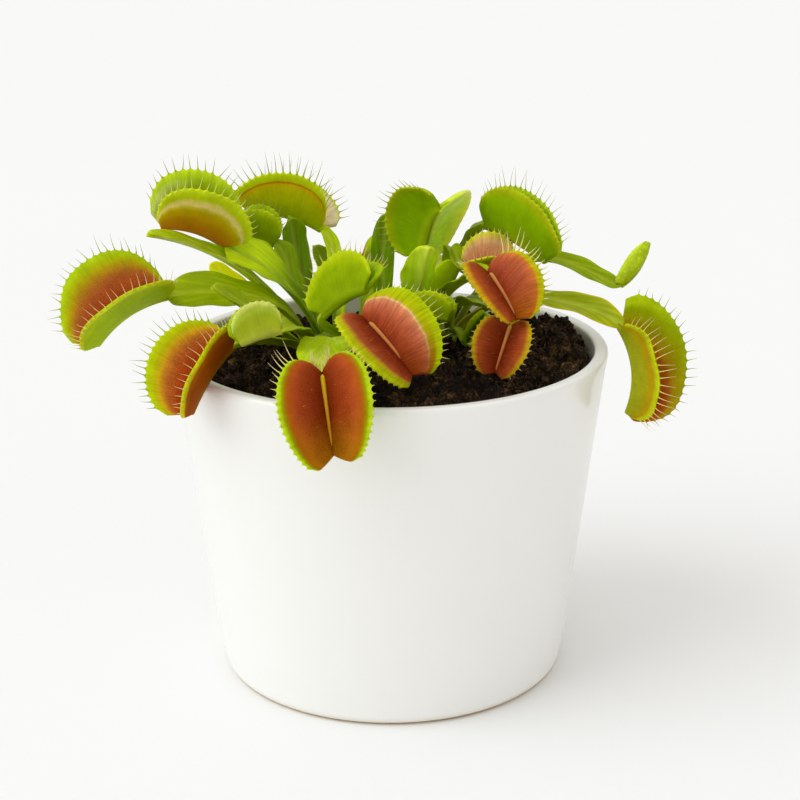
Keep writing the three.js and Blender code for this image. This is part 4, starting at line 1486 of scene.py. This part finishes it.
@dataclass
class Trap:
    """A trap: two fleshy lobes on a midrib, with a toothed margin, cilia and trigger hairs.

    Places on it are given by u, the share of the hinge's length from the stalk to the far end, and w, the
    share of the way from the hinge to a margin, which is below 0 on side -1.
    """

    # The numbers of the finishes, a pair being for the lobes on sides -1 and 1
    INSIDE: ClassVar[tuple[int, int]] = (1, 2)
    OUTSIDE: ClassVar[tuple[int, int]] = (3, 4)
    CILIA: ClassVar[tuple[int, int]] = (5, 6)
    RIDGE: ClassVar[int] = 7
    # The lobes' lines of points between hinge and margin, and the rows next to the ends of the hinge
    LINES: ClassVar[tuple[float, ...]] = (
        0.02, 0.045, 0.075, 0.11, 0.16, 0.22, 0.29, 0.36, 0.43, 0.5, 0.57, 0.64, 0.7, 0.75, 0.79, 0.82,
        0.85, 0.88, 0.91, 0.94, 0.965, 0.985, 1.0,
    )
    END_ROWS: ClassVar[tuple[float, ...]] = (0.0, 0.008, 0.02, 0.036)
    # The rows on each tooth, as shares of its width
    TOOTH_ROWS: ClassVar[tuple[float, ...]] = (0.0, 0.22, 0.38, 0.5, 0.62, 0.78)

    draft: MeshDraft
    plan: TrapPlan
    start: Array
    rng: np.random.Generator
    hinge_thickness: float = 1.5
    pad_thickness: float = 1.15
    margin_thickness: float = 0.62
    end_thickness: float = 0.12
    margin_rounding: float = 0.05
    end_rounding: float = 0.03
    keel_depth: float = 0.45
    keel_reach: float = 1.2
    keel_span: tuple[float, float] = (-0.06, 0.97)
    keel_radius: float = 0.86
    keel_taper: float = 0.62
    ridge_taper: float = 0.55
    ridge_height: float = 1.25
    pad_swell: float = 0.16
    pad_edge: tuple[float, float] = (0.76, 0.84)
    waviness: float = 0.018
    end_angle: float = 17.0
    squareness: float = 0.8
    band_start: float = 0.84
    band_turn: float = 22.0
    band_bend: tuple[float, float] = (0.79, 0.89)
    crease: float = 0.04
    corner: float = 0.08
    corner_cut: float = 0.12
    toothless_end: float = 0.05
    tooth_spacing: float = 2.3
    teeth_range: tuple[int, int] = (8, 22)
    tooth_start: float = 0.9
    bare_tooth: float = 0.12
    just_inside: float = 0.93
    cilia_root: float = 0.4
    cilia_stray: float = 0.11
    cilia_fan: float = 0.18
    cilia_lengths: tuple[float, float] = (0.72, 1.12)
    shortest_cilium: float = 0.5
    tuft_reach: float = 0.25
    tuft_fan: float = 0.7
    least_fanned_tuft: float = 3.0
    notch_place: float = 0.012
    notch_radius: float = 0.14
    notch_reach: tuple[float, float] = (0.08, 0.66)
    hair_places: tuple[tuple[float, float], ...] = ((0.34, 0.42), (0.5, 0.6), (0.66, 0.42))
    hair_length: float = 1.3
    hair_radius: float = 0.055
    rod_sides: int = 12
    frame: tuple[Array, Array, Array] = field(init=False)
    profile: tuple[Array, Array, Array] = field(init=False)

    def __post_init__(self) -> None:
        """Works out the trap's directions, the outline of a lobe's section and the number of teeth."""
        hinge = bearing(*self.plan.hinge)
        mouth = square_to(bearing(*self.plan.mouth), hinge)
        self.frame = (hinge, mouth, np.cross(mouth, hinge))
        first, last = (math.radians(g) for g in self.plan.gape)
        v = np.linspace(0, 1, 501)
        slope = first + (last - first) * v + math.radians(self.band_turn) * ease(v, *self.band_bend)
        slope = slope + (math.pi / 2 - first) * np.exp(-v / self.crease)
        out, up = (
            np.concatenate([[0], np.cumsum((steps[1:] + steps[:-1]) / 2 * v[1])])
            for steps in (np.sin(slope), np.cos(slope))
        )
        self.profile = (v, out, up)
        margin_length = 1.35 * (self.plan.length + self.plan.height)
        self.teeth = int(np.clip(round(margin_length / self.tooth_spacing), *self.teeth_range))

    def along_hinge(self, u: Array) -> tuple[Array, Array, Array]:
        """Follows the hinge.

        Args:
            u: shares of the hinge's length.

        Returns:
            The points, and the directions along the hinge and out of the mouth there.
        """
        hinge, mouth, _ = self.frame
        bend = (math.radians(self.plan.arch) * u)[..., None]
        radius = self.plan.length / math.radians(self.plan.arch)
        cos, sin = np.cos(bend), np.sin(bend)
        points = self.start + radius * sin * hinge - radius * (1 - cos) * mouth
        return points, cos * hinge - sin * mouth, cos * mouth + sin * hinge

    def surface(self, u: Array, w: Array) -> Array:
        """Finds points of the lobes' middle surface.

        Args:
            u: shares of the hinge's length.
            w: shares of the way from the hinge to a margin, -1 to 1.

        Returns:
            The points.
        """
        v, sign, plan = np.abs(w), np.sign(w), self.plan
        points, along, mouth = self.along_hinge(u)
        first_angle = math.radians(self.end_angle)
        turn = math.pi - first_angle - (math.pi - 2 * first_angle) * u
        skew, heel, toe, overhang, spread = (
            by_side(value, w) for value in (plan.skew, plan.heel, plan.toe, plan.overhang, plan.spread)
        )
        margin = plan.length * (0.5 + (0.5 + overhang) * np.cos(turn)) - sign * skew
        height = plan.height * spread * np.maximum(np.sin(turn), 1e-3) ** self.squareness
        near = np.clip(1 - u / plan.end_reach, 0, 1) ** 2
        distant = np.clip(1 - (1 - u) / plan.end_reach, 0, 1) ** 2
        corner = np.clip(1 - np.minimum(u, 1 - u) / self.corner, 0, 1) ** 2
        scale = (1 - heel * near) * (1 - toe * distant) * (1 - self.corner_cut * corner)
        out, up = (np.interp(v, self.profile[0], table) for table in self.profile[1:])
        shift = (margin - plan.length * u) * v * scale
        aside = sign * height * out * scale
        rise = height * up * scale
        return points + shift[..., None] * along + aside[..., None] * self.frame[2] + rise[..., None] * mouth

    def normals(self, u: Array, w: Array) -> Array:
        """Finds the unit normals of the middle surface, which point into the trap.

        Args:
            u: shares of the hinge's length.
            w: shares of the way from the hinge to a margin, -1 to 1.

        Returns:
            The normals.
        """
        nudge = 1e-3
        along = self.surface(u + nudge, w) - self.surface(u - nudge, w)
        across = self.surface(u, w + nudge) - self.surface(u, w - nudge)
        return unit(np.cross(along, across))

    def outward(self, u: Array, w: Array) -> Array:
        """The unit directions in which the lobes go on past their points, away from the hinge."""
        return unit(self.surface(u, w) - self.surface(u, w * self.just_inside))

    def rows(self) -> tuple[Array, Array]:
        """Works out where the lobes have a row of points.

        Returns:
            The shares of the hinge's length, and how far the margin's tooth is out at each of them.
        """
        plain = self.toothless_end
        pitch = (1 - 2 * plain) / self.teeth
        shares = [plain + pitch * (k + row) for k in range(self.teeth) for row in self.TOOTH_ROWS]
        out = [1 - abs(2 * row - 1) for row in self.TOOTH_ROWS] * self.teeth
        far_rows = [1 - plain, *(1 - row for row in reversed(self.END_ROWS))]
        out = [0.0] * len(self.END_ROWS) + out + [0.0] * len(far_rows)
        return np.array([*self.END_ROWS, *shares, *far_rows]), np.array(out)

    def lobes(self) -> None:
        """Adds the two lobes as one closed, folded sheet."""
        rows, out = self.rows()
        lines = np.array([*(-line for line in reversed(self.LINES)), 0.0, *self.LINES])
        u, w = np.meshgrid(rows, lines, indexing="ij")
        v = np.abs(w)
        normals = self.normals(u, w)
        bare = by_side(self.plan.spine, w) <= 0
        tooth = np.where(bare, self.bare_tooth, self.plan.tooth) * out[:, None] ** 1.5
        tooth = tooth * ease(v, self.tooth_start, 1.0)
        waves = ripple(self.rng, w, u, (9, 10), (21, 19), 0.6)
        wavy = normals * (self.waviness * self.plan.height * waves * v**2.5)[..., None]
        points = self.surface(u, w) + self.outward(u, w) * tooth[..., None] + wavy
        thinned = np.minimum(v / self.band_start, 1)
        thickness = self.hinge_thickness + (self.pad_thickness - self.hinge_thickness) * thinned
        thickness = thickness + (self.margin_thickness - self.pad_thickness) * ease(v, self.band_start, 1)
        past = np.maximum(v - 1 + self.margin_rounding, 0) / self.margin_rounding
        thickness = thickness * np.sqrt(np.clip(1 - past**2, 0, 1))
        end = np.clip(1 - np.minimum(u, 1 - u) / self.end_rounding, 0, 1)
        rounding = np.sqrt(np.clip(1 - end**2, 0, 1))
        thickness = thickness * (self.end_thickness + (1 - self.end_thickness) * rounding)
        keel = self.keel_depth * np.exp(-((v * self.plan.height / self.keel_reach) ** 2))
        # the pad stands a little proud of the band on the inside, and the band of the pad on the outside
        swell = self.pad_swell * (1 - ease(v, *self.pad_edge))
        inner = points + normals * (thickness / 2 + swell * thickness)[..., None]
        outer = points - normals * (thickness / 2 + keel - 0.5 * swell * thickness)[..., None]
        for edge in (0, -1):
            inner[:, edge] = outer[:, edge] = points[:, edge]
        sheet, inside, outside, caps = closed_sheet(inner, outer)
        first = np.tile(np.arange(len(lines) - 1) < len(self.LINES), len(rows) - 1)
        faces = [(inside, np.where(first, *self.INSIDE)), (outside, np.where(first, *self.OUTSIDE[::-1]))]
        self.draft.add(
            sheet,
            faces + [(cap, self.OUTSIDE[0]) for cap in caps],
            share=around(v),
            along=around(u),
            # the veins of the second lobe aren't those of the first
            run_mm=around(u * self.plan.length + 7.0 * (w < 0)),
            rise_mm=around(v * self.plan.height),
        )

    def add_rod(
        self,
        finish: int,
        centre: Array,
        radius: Array,
        mouth: Array,
        **measures: Array | float,
    ) -> None:
        """Adds a closed rod that follows the hinge.

        Args:
            finish: the number of its finish.
            centre: the points of its centre line.
            radius: its radius at each.
            mouth: the direction out of the mouth at each, as long as the rod is high for its width.
            **measures: the measures of its points.
        """
        rings = centre[:, None] + radius[:, None, None] * spokes(self.rod_sides, self.frame[2], mouth)
        first = np.arange(self.rod_sides)
        ends = np.stack([first[::-1], first + self.rod_sides * (len(centre) - 1)])
        faces = [(ring_quads(len(centre), self.rod_sides), finish), (ends, finish)]
        self.draft.add(rings, faces, **measures)

    def keel(self) -> None:
        """Adds the rib that runs from the neck along the outside of the hinge."""
        u = np.linspace(*self.keel_span, 22)
        points, _, mouth = self.along_hinge(u)
        radius = self.keel_radius * (1 - self.keel_taper * np.clip(u, 0, 1) ** 1.2)
        radius[[0, -1]] *= 0.35
        centre = points - 0.5 * mouth
        self.add_rod(self.OUTSIDE[0], centre, radius, mouth, share=0.02, along=0.5, rise_mm=0.2)

    def ridge(self) -> None:
        """Adds the midrib that stands up between the two pads of a wide open trap."""
        start, end = self.plan.ridge_span
        u = np.linspace(start, end, 30)
        points, _, mouth = self.along_hinge(u)
        ends = np.clip(np.minimum((end + 0.005 - u) / 0.08, (u - start + 0.02) / 0.06), 0.1, 1)
        radius = self.plan.ridge_radius * (1 - self.ridge_taper * u) * np.sqrt(ends)
        slope = math.sin(math.radians(self.plan.gape[0]))
        lift = (self.hinge_thickness / 2 + 0.4 * radius) / slope - 0.35
        centre = points + lift[:, None] * mouth
        high = self.ridge_height * mouth
        self.add_rod(self.RIDGE, centre, radius, high, along=np.repeat(u, self.rod_sides))

    def cilia(self) -> None:
        """Adds a cilium on each tooth of the margins that have them.

        Real cilia are about two tenths of a millimetre thick and taper, less than a pixel, so they are drawn
        a little thicker.
        """
        shares, out = self.rows()
        u = shares[out > 0.99]
        for lobe, side in enumerate((-1.0, 1.0)):
            length, tuft, curl = (pair[lobe] for pair in (self.plan.spine, self.plan.tuft, self.plan.curl))
            if length <= 0:
                continue
            w = np.full(len(u), side)
            outward = self.outward(u, w)
            inward = self.normals(u, w * 0.99)
            along = unit(self.surface(u + 0.01, w) - self.surface(u - 0.01, w))
            tufted = np.exp(-((u / self.tuft_reach) ** 2))
            sweep = -self.cilia_fan * np.cos(math.pi * u)
            if tuft > self.least_fanned_tuft:
                sweep = sweep - self.tuft_fan * tufted
            stray = self.rng.normal(0, self.cilia_stray, (len(u), 3))
            lean = unit(outward + sweep[:, None] * along + stray + 0.6 * curl * inward)
            bends = curl * inward + self.rng.normal(0, 0.06, (len(u), 3))
            lengths = length * (0.55 + 0.45 * np.sin(math.pi * u)) + tuft * tufted
            lengths = lengths * self.rng.uniform(*self.cilia_lengths, len(u))
            lengths = np.maximum(lengths, self.shortest_cilium)
            roots = self.surface(u, w) + outward * (self.plan.tooth - self.cilia_root)
            self.draft.add_bristles(self.CILIA[lobe], roots, lean, bends, lengths, self.plan.bristle)

    def notch_cilia(self) -> None:
        """Adds the cilia that stand where the two lobes meet at the stalk."""
        half = np.linspace(*self.notch_reach, 15)
        w = np.concatenate([-half[::-1], half])
        u = np.full(len(w), self.notch_place)
        _, along, mouth = self.along_hinge(u)
        lean = unit(-0.8 * along + 0.75 * mouth + self.rng.normal(0, 0.16, (len(u), 3)))
        bends = self.rng.normal(0, 0.08, (len(u), 3))
        lengths = self.plan.notch * self.rng.uniform(0.75, 1.1, len(u))
        self.draft.add_bristles(self.CILIA[1], self.surface(u, w), lean, bends, lengths, self.notch_radius)

    def trigger_hairs(self) -> None:
        """Adds the three hairs inside each lobe that spring the trap."""
        u, away = np.array(self.hair_places).T
        for side in (-1.0, 1.0):
            w = side * away
            lean = self.normals(u, w)
            bends = self.rng.normal(0, 0.08, (3, 3))
            roots, lengths = self.surface(u, w) + lean * 0.5, np.full(3, self.hair_length)
            self.draft.add_bristles(self.RIDGE, roots, lean, bends, lengths, self.hair_radius, 5, 5)

    def looks(self) -> list[Enum]:
        """The trap's finishes, in the order of their numbers."""
        plan = self.plan
        return [*plan.inside, *plan.outside, *plan.cilia, plan.ridge or Ridge.TAN]

    def build(self) -> None:
        """Adds the whole trap to the leaf's mesh."""
        self.lobes()
        self.keel()
        if self.plan.ridge is not None:
            self.ridge()
        self.cilia()
        if self.plan.notch > 0:
            self.notch_cilia()
        self.trigger_hairs()


# Short names for the plans
S, C, G = Cilia.SAGE, Cilia.CREAM, Cilia.GOLD


def both(look: Enum) -> tuple[Enum, Enum]:
    """The same finish for the two lobes."""
    return look, look


LEAVES = (
    LeafPlan(
        "leaf_far_left", "left", (182, 8.6), (-37, 0, 98), (-56, -2, 98.4), 12, 12, -50, Blade.FRESH,
        TrapPlan(
            22, 20.5, (196, -10), (226, 78), (60, 44), 46, both(Pad.BRICK), both(Skin.LIME), (4.9, 2.7),
            (S, C), skew=1.5, heel=0.5, curl=(0.12, 0.8),
        ),
    ),
    LeafPlan(
        "leaf_low_left", "left", (227, 8.6), (-29, -13, 90), (-38, -26.5, 92), 5, 18, 0, Blade.FRESH,
        TrapPlan(
            19.5, 14.5, (229, -29), (217, 60), (42, 21), 27, both(Pad.CORAL), both(Skin.ORANGE), (3.7, 2.9),
            (S, C), curl=(0.1, 0.6),
        ),
    ),
    LeafPlan(
        "leaf_left_inner", "left", (252, 8.6), (-22, -19, 94.5), (-25.2, -37, 99.3), 6, 15, -30, Blade.FRESH,
        TrapPlan(
            10, 8, (182, -15), (80, 75), (8, -2), 8, both(Pad.GREEN), both(Skin.PALE), (0.5, 0.5), (S, S),
            skew=0.6, heel=0.5, tooth=0.35,
        ),
    ),
    LeafPlan(
        "leaf_upper_left", "left", (165, 4.5), (-31, 6, 103), (-41.5, 8, 109), 12, 20, -50, Blade.MIXED,
        TrapPlan(
            17.5, 15, (191, 40), (351, 46), (33, 2), 44, both(Pad.SHEEN), (Skin.LIME, Skin.BRONZE),
            (4.0, 2.2), (S, C), skew=1.5, toe=0.35, curl=(0.2, 0.5), tooth=0.6,
        ),
    ),
    LeafPlan(
        "leaf_upper_middle", "left", (80, 4.5), (-14, 21, 100), (-18.3, 30, 108.4), 4.5, 25, 0, Blade.LIME,
        TrapPlan(
            19.3, 13, (191, 33), (30, 55), (52, 11), 34, (Pad.PINK, Pad.GREEN), both(Skin.OLIVE), (5.0, 6.0),
            skew=-3.5, heel=0.25,
        ),
    ),
    LeafPlan(
        "leaf_upper_small", "left", (120, 5), (-26, 14, 100), (-30, 17, 107.3), 7, 20, -30, Blade.MEADOW,
        TrapPlan(
            9, 9, (183, 22), (352, 67), (30, -10), 18, both(Pad.GREEN), both(Skin.MOSS), (2.0, 2.0),
            tooth=0.4,
        ),
    ),
    LeafPlan(
        "leaf_centre", "left", (290, 4.5), (-13.5, -2, 89), (-16.5, -6, 94), 4, 15, 0, Blade.FRESH,
        TrapPlan(
            14.5, 13, (357, 45), (100, 28), (20, 2), 40, both(Pad.GREEN), both(Skin.MOSS), (3.4, 3), (C, C),
            skew=-0.8,
        ),
    ),
    LeafPlan(
        "leaf_centre_front", "left", (310, 8.6), (-5, -12, 92), (-6.5, -26, 98.5), 5, 15, 0, Blade.LIME,
        TrapPlan(
            19.5, 13.8, (310, -21), (263, 61), (33, 63), 29, (Pad.WINE, Pad.ROSE), both(Skin.LIME),
            (0.4, 2.4), (G, C), heel=(0.55, 0.1), tooth=0.45, ridge=Ridge.ROSY, ridge_span=(0.16, 0.76),
        ),
    ),
    LeafPlan(
        "leaf_front", "left", (272, 8.6), (-15, -24, 92), (-15, -50.5, 92), 13, 12, 0, Blade.LIME,
        TrapPlan(
            19.4, 14.5, (278, -33), (262, 57), (26, 58), 36, both(Pad.MAROON), both(Skin.LIME), (0.7, 0.9),
            (C, C), skew=(0.6, 0.3), heel=(0, 0.1), toe=(-0.06, -0.12), tuft=(6.8, 1.6), tooth=0.5, notch=4.2,
            bristle=0.18, ridge=Ridge.TAN, ridge_span=(0.06, 0.9),
        ),
    ),
    LeafPlan(
        "leaf_right_centre", "right", (296, 8.6), (16, 0, 100), (24, -10, 105), 7, 20, 30, Blade.FRESH,
        TrapPlan(
            16.5, 11.7, (293, -17), (265, 71), (30, 60), 24, (Pad.CLARET, Pad.SALMON), both(Skin.GOLDEN),
            (0.5, 2.2), (G, C), tuft=(3.2, 11.5), tooth=0.45, bristle=0.25, ridge=Ridge.ROSY,
        ridge_span=(0.1, 0.95), ),
    ),
    LeafPlan(
        "leaf_right_front", "right", (337, 8.6), (22, -4, 97), (29.5, -18, 93.7), 7, 20, 0, Blade.FRESH,
        TrapPlan(
            12.2, 9, (243, -42), (262, 49), (32, 61), 15, both(Pad.CLARET), both(Skin.GOLDEN), (1.0, 1.2),
            (C, C), tooth=0.4, ridge=Ridge.ROSY, ridge_radius=0.62,
        ),
    ),
    LeafPlan(
        "leaf_back_centre", "right", (150, 4.5), (5, 16, 95), (8.3, 13.2, 105.2), 4, 20, 0, Blade.FRESH,
        TrapPlan(
            16, 12.5, (25, 78), (105, -2), (42, 60), 62, (Pad.GREEN, Pad.PAINTED_LIT), (Skin.FRESH, Skin.PAINTED_LIT),
            (3.2, 0), skew=(0, -2), toe=(0, 0.5), overhang=(0.16, 0.3), spread=(1, 1.07), end_reach=0.5,
        tooth=0.45, ),
    ),
    LeafPlan(
        "leaf_back_right", "right", (50, 4.5), (18, 22, 103), (25, 14.7, 112.2), 6, 20, 0, Blade.FRESH,
        TrapPlan(
            21.5, 13.6, (314, -8), (292, 82), (19, -21), 18, both(Pad.GREEN), both(Skin.FRESH), (0.8, 5.2),
            curl=(0.3, 0.0), tooth=0.5, bristle=0.11,
        ),
    ),
    LeafPlan(
        "leaf_middle_right", "right", (350, 4.5), (16, 12, 107), (19.5, 6, 102.7), 5, 20, 0, Blade.FRESH,
        TrapPlan(
            10.5, 10, (6, 3), (271, 56), (32, 11), 18, both(Pad.BLUSH), both(Skin.AMBER), (6.5, 1.2), (C, C),
            tooth=0.5,
        ),
    ),
    LeafPlan(
        "leaf_long_right", "right", (20, 8.6), (43, 15, 103), (59.1, 9, 98), 6, 15, 45, Blade.FRESH,
        TrapPlan(
            12.8, 3.8, (0, 34), (160, 60), (50, -30), -50, both(Pad.PAINTED_LIT), both(Skin.YOUNG), (0, 0),
            heel=0.3, toe=0.84, end_reach=0.55,
        ),
    ),
    LeafPlan(
        "leaf_far_right", "right", (357, 8.6), (40, 3, 95.5), (57.5, -9, 91.3), 7.5, 15, 45, Blade.GILDED,
        TrapPlan(
            23, 16.3, (328, -54), (341, 37), (50, 36), 56, both(Pad.HALF), both(Skin.AMBER), (4.2, 3.6),
            (C, S), skew=(-0.5, 1.6), heel=(0.5, 0), toe=(0.2, 0.5), overhang=(0.02, 0.24),
            spread=(0.82, 0.94), curl=(0.6, 0.1), tooth=0.5,
        ),
    ),
    LeafPlan(
        "leaf_low_right", "right", (317, 8.6), (18, 5, 86), (20.5, 2, 85.5), 3.5, 15, 0, Blade.MEADOW,
        TrapPlan(
            8, 5.5, (330, 60), (270, 30), (40, -10), 10, both(Pad.GREEN), both(Skin.FRESH), (0.9, 0.9),
            tooth=0.25,
        ),
    ),
    LeafPlan(
        "leaf_small_right", "right", (330, 3), (12.5, 10.5, 92), (14, 9, 94), 3.5, 15, 0, Blade.MEADOW,
        TrapPlan(9, 5.5, (20, 75), (150, 20), (46, -20), 15, both(Pad.GREEN), both(Skin.MOSS), (0, 0)),
    ),
    LeafPlan(
        "leaf_small_centre", "right", (262, 8.6), (6, 2, 90), (6, -5, 93), 4, 15, 0, Blade.MEADOW,
        TrapPlan(
            9.5, 7, (340, 15), (60, 70), (46, 0), 20, both(Pad.GREEN), both(Skin.MOSS), (1.2, 1.2), (C, C),
            tooth=0.4,
        ),
    ),
    LeafPlan("leaf_young_spoon", "right", (240, 4.5), (7, 5, 98), (9.5, 1, 110), 9.6, 15, 0, Blade.PAINTED_LIT_GLOSSY),
    LeafPlan("leaf_young_back", "right", (175, 8.6), (-2, 20, 98), (-1, 23, 113.5), 6.5, 15, 0, Blade.SHADE),
    LeafPlan("leaf_back_blade", "left", (130, 8.6), (-24, 21, 101), (-25.5, 21, 113), 8, 15, 0, Blade.SHADE),
    LeafPlan("leaf_back_low", "left", (95, 8.6), (-15, 25, 94), (-20, 28, 104), 6, 15, 0, Blade.MEADOW),
    LeafPlan(
        "leaf_under_left", "left", (163, 8.6), (-38, 8, 103.2), (-60, 0, 114.2), 5.5, 15, -20, Blade.LIME,
    ),
    LeafPlan(
        "leaf_left_tip", "left", (200, 8.6), (-32, -7, 94.5), (-43, -12, 103.5), 6, 15, -50, Blade.FRESH,
    ),
    LeafPlan(
        "leaf_left_bud", "left", (144, 8.6), (-36, 16, 93), (-46.7, 19, 101.7), 6, 10, -50, Blade.PAINTED_LIT_YELLOW,
    ),
    LeafPlan(
        "leaf_rear_left", "left", (50, 8.6), (-6, 28, 97), (-8, 38, 96), 8, 15, 0, Blade.FRESH,
        TrapPlan(
            16, 12, (100, -25), (130, 60), (36, 40), 30, both(Pad.BRICK), both(Skin.LIME), (4, 4), (S, C),
        ),
    ),
    LeafPlan(
        "leaf_rear_right", "right", (95, 8.6), (13, 36, 97), (20, 47, 94), 8, 15, 0, Blade.FRESH,
        TrapPlan(
            15, 11.5, (60, -30), (80, 55), (32, 45), 30, both(Pad.CORAL), both(Skin.FRESH), (4, 4), (S, C),
        ),
    ),
)


@dataclass
class Leaf:
    """A whole leaf: its stalk, seated on a rhizome, and its trap, in one piece as it grows."""

    plan: LeafPlan
    rhizome: Rhizome
    seat: float = 1.2

    def build(self, seed: int) -> None:
        """Builds and dresses the leaf.

        Args:
            seed: what this leaf's own random draws start from.
        """
        rng = np.random.default_rng(seed)
        azimuth, distance = self.plan.root
        foot = np.array([*self.rhizome.place, float(self.rhizome.dome(distance)) - self.seat])
        draft = MeshDraft()
        Stalk(draft, self.plan, foot + distance * bearing(azimuth, 0), rng).build()
        looks: list[Enum] = [self.plan.green]
        if self.plan.trap is not None:
            trap = Trap(draft, self.plan.trap, np.array(self.plan.joint, float), rng)
            trap.build()
            looks += trap.looks()
        settle(draft.piece(f"{self.plan.name}_tissue", looks), "leaf", self.plan.name)


# The studio


@dataclass
class Studio:
    """The paper sweep, the soft light and the camera."""

    camera_place: tuple[float, float, float] = (2.4, -442.6, 212.4)
    camera_target: tuple[float, float, float] = (2.4, 0.0, 69.9)
    camera_roll: float = -0.43
    lens: float = 81.72
    film_width: float = 36.0
    nearest: float = 0.01
    paper_size: float = 24.0
    room: str = "fffcf7"
    room_strength: float = 0.705
    window: str = "f2f9ff"
    window_strength: float = 1.12
    window_place: tuple[float, float] = (204.0, 42.0)
    window_spread: float = 50.0
    ceiling_strength: float = 0.38
    ceiling_place: tuple[float, float] = (190.0, 64.0)
    ceiling_spread: float = 130.0

    def place_camera(self) -> None:
        """Makes the camera at the photograph's angle."""
        camera = bpy.data.objects.new("camera", bpy.data.cameras.new("camera"))
        camera.data.lens = self.lens
        camera.data.sensor_width = self.film_width
        camera.data.clip_start = self.nearest
        place, target = Vector(self.camera_place) * MM, Vector(self.camera_target) * MM
        aim = (target - place).to_track_quat("-Z", "Y").to_matrix().to_4x4()
        roll = Matrix.Rotation(math.radians(self.camera_roll), 4, "Z")
        camera.matrix_world = Matrix.Translation(place) @ aim @ roll
        bpy.context.scene.collection.objects.link(camera)
        bpy.context.scene.camera = camera

    def lay_paper(self) -> None:
        """Lays the paper under the pot."""
        half = self.paper_size / 2 / MM
        corners = half * np.array([[-1, -1, 0], [1, -1, 0], [1, 1, 0], [-1, 1, 0]])
        draft = MeshDraft()
        draft.add(corners, [(np.array([[0, 1, 2, 3]]), 0)])
        draft.piece("paper_sweep", [MattPaper()])

    def light(self) -> None:
        """Sets a white room and a tall window at the upper left, wide enough for soft shadows."""
        world = bpy.data.worlds.new("white_room")
        world.use_nodes = True
        backdrop = world.node_tree.nodes["Background"]
        backdrop.inputs["Color"].default_value = paint(self.room)
        backdrop.inputs["Strength"].default_value = self.room_strength
        bpy.context.scene.world = world
        self.add_glow("window", self.window_strength, self.window_place, self.window_spread)
        self.add_glow("ceiling", self.ceiling_strength, self.ceiling_place, self.ceiling_spread)
        bpy.context.scene.view_settings.view_transform = "Standard"

    def add_glow(self, name: str, strength: float, place: tuple[float, float], spread: float) -> None:
        """Adds a soft light that falls evenly on the whole scene.

        Args:
            name: its name.
            strength: how much light it gives, in watts on a square metre.
            place: the azimuth and elevation that it shines from, in degrees.
            spread: how wide it is, in degrees.
        """
        glow = bpy.data.lights.new(name, "SUN")
        glow.energy = strength
        glow.angle = math.radians(spread)
        glow.color = paint(self.window)[:3]
        lamp = bpy.data.objects.new(name, glow)
        lamp.rotation_euler = Vector(-bearing(*place)).to_track_quat("-Z", "Y").to_euler()
        bpy.context.scene.collection.objects.link(lamp)

    def build(self) -> None:
        """Sets up the whole studio."""
        self.place_camera()
        self.lay_paper()
        self.light()


def main() -> None:
    """Builds the studio, the pot, the peat, the rhizomes and the leaves, in that order."""
    logging.basicConfig(level=logging.INFO, format="%(name)s: %(message)s")
    Studio().build()
    pot = Pot()
    pot.build()
    PeatBed(pot).build()
    rhizomes = {
        "left": Rhizome("rhizome_left", (-13, 5)),
        "right": Rhizome("rhizome_right", (8, 15)),
    }
    for rhizome in rhizomes.values():
        rhizome.build()
    for number, plan in enumerate(LEAVES):
        Leaf(plan, rhizomes[plan.crown]).build(SEED + number)


if __name__ == "__main__":
    main()
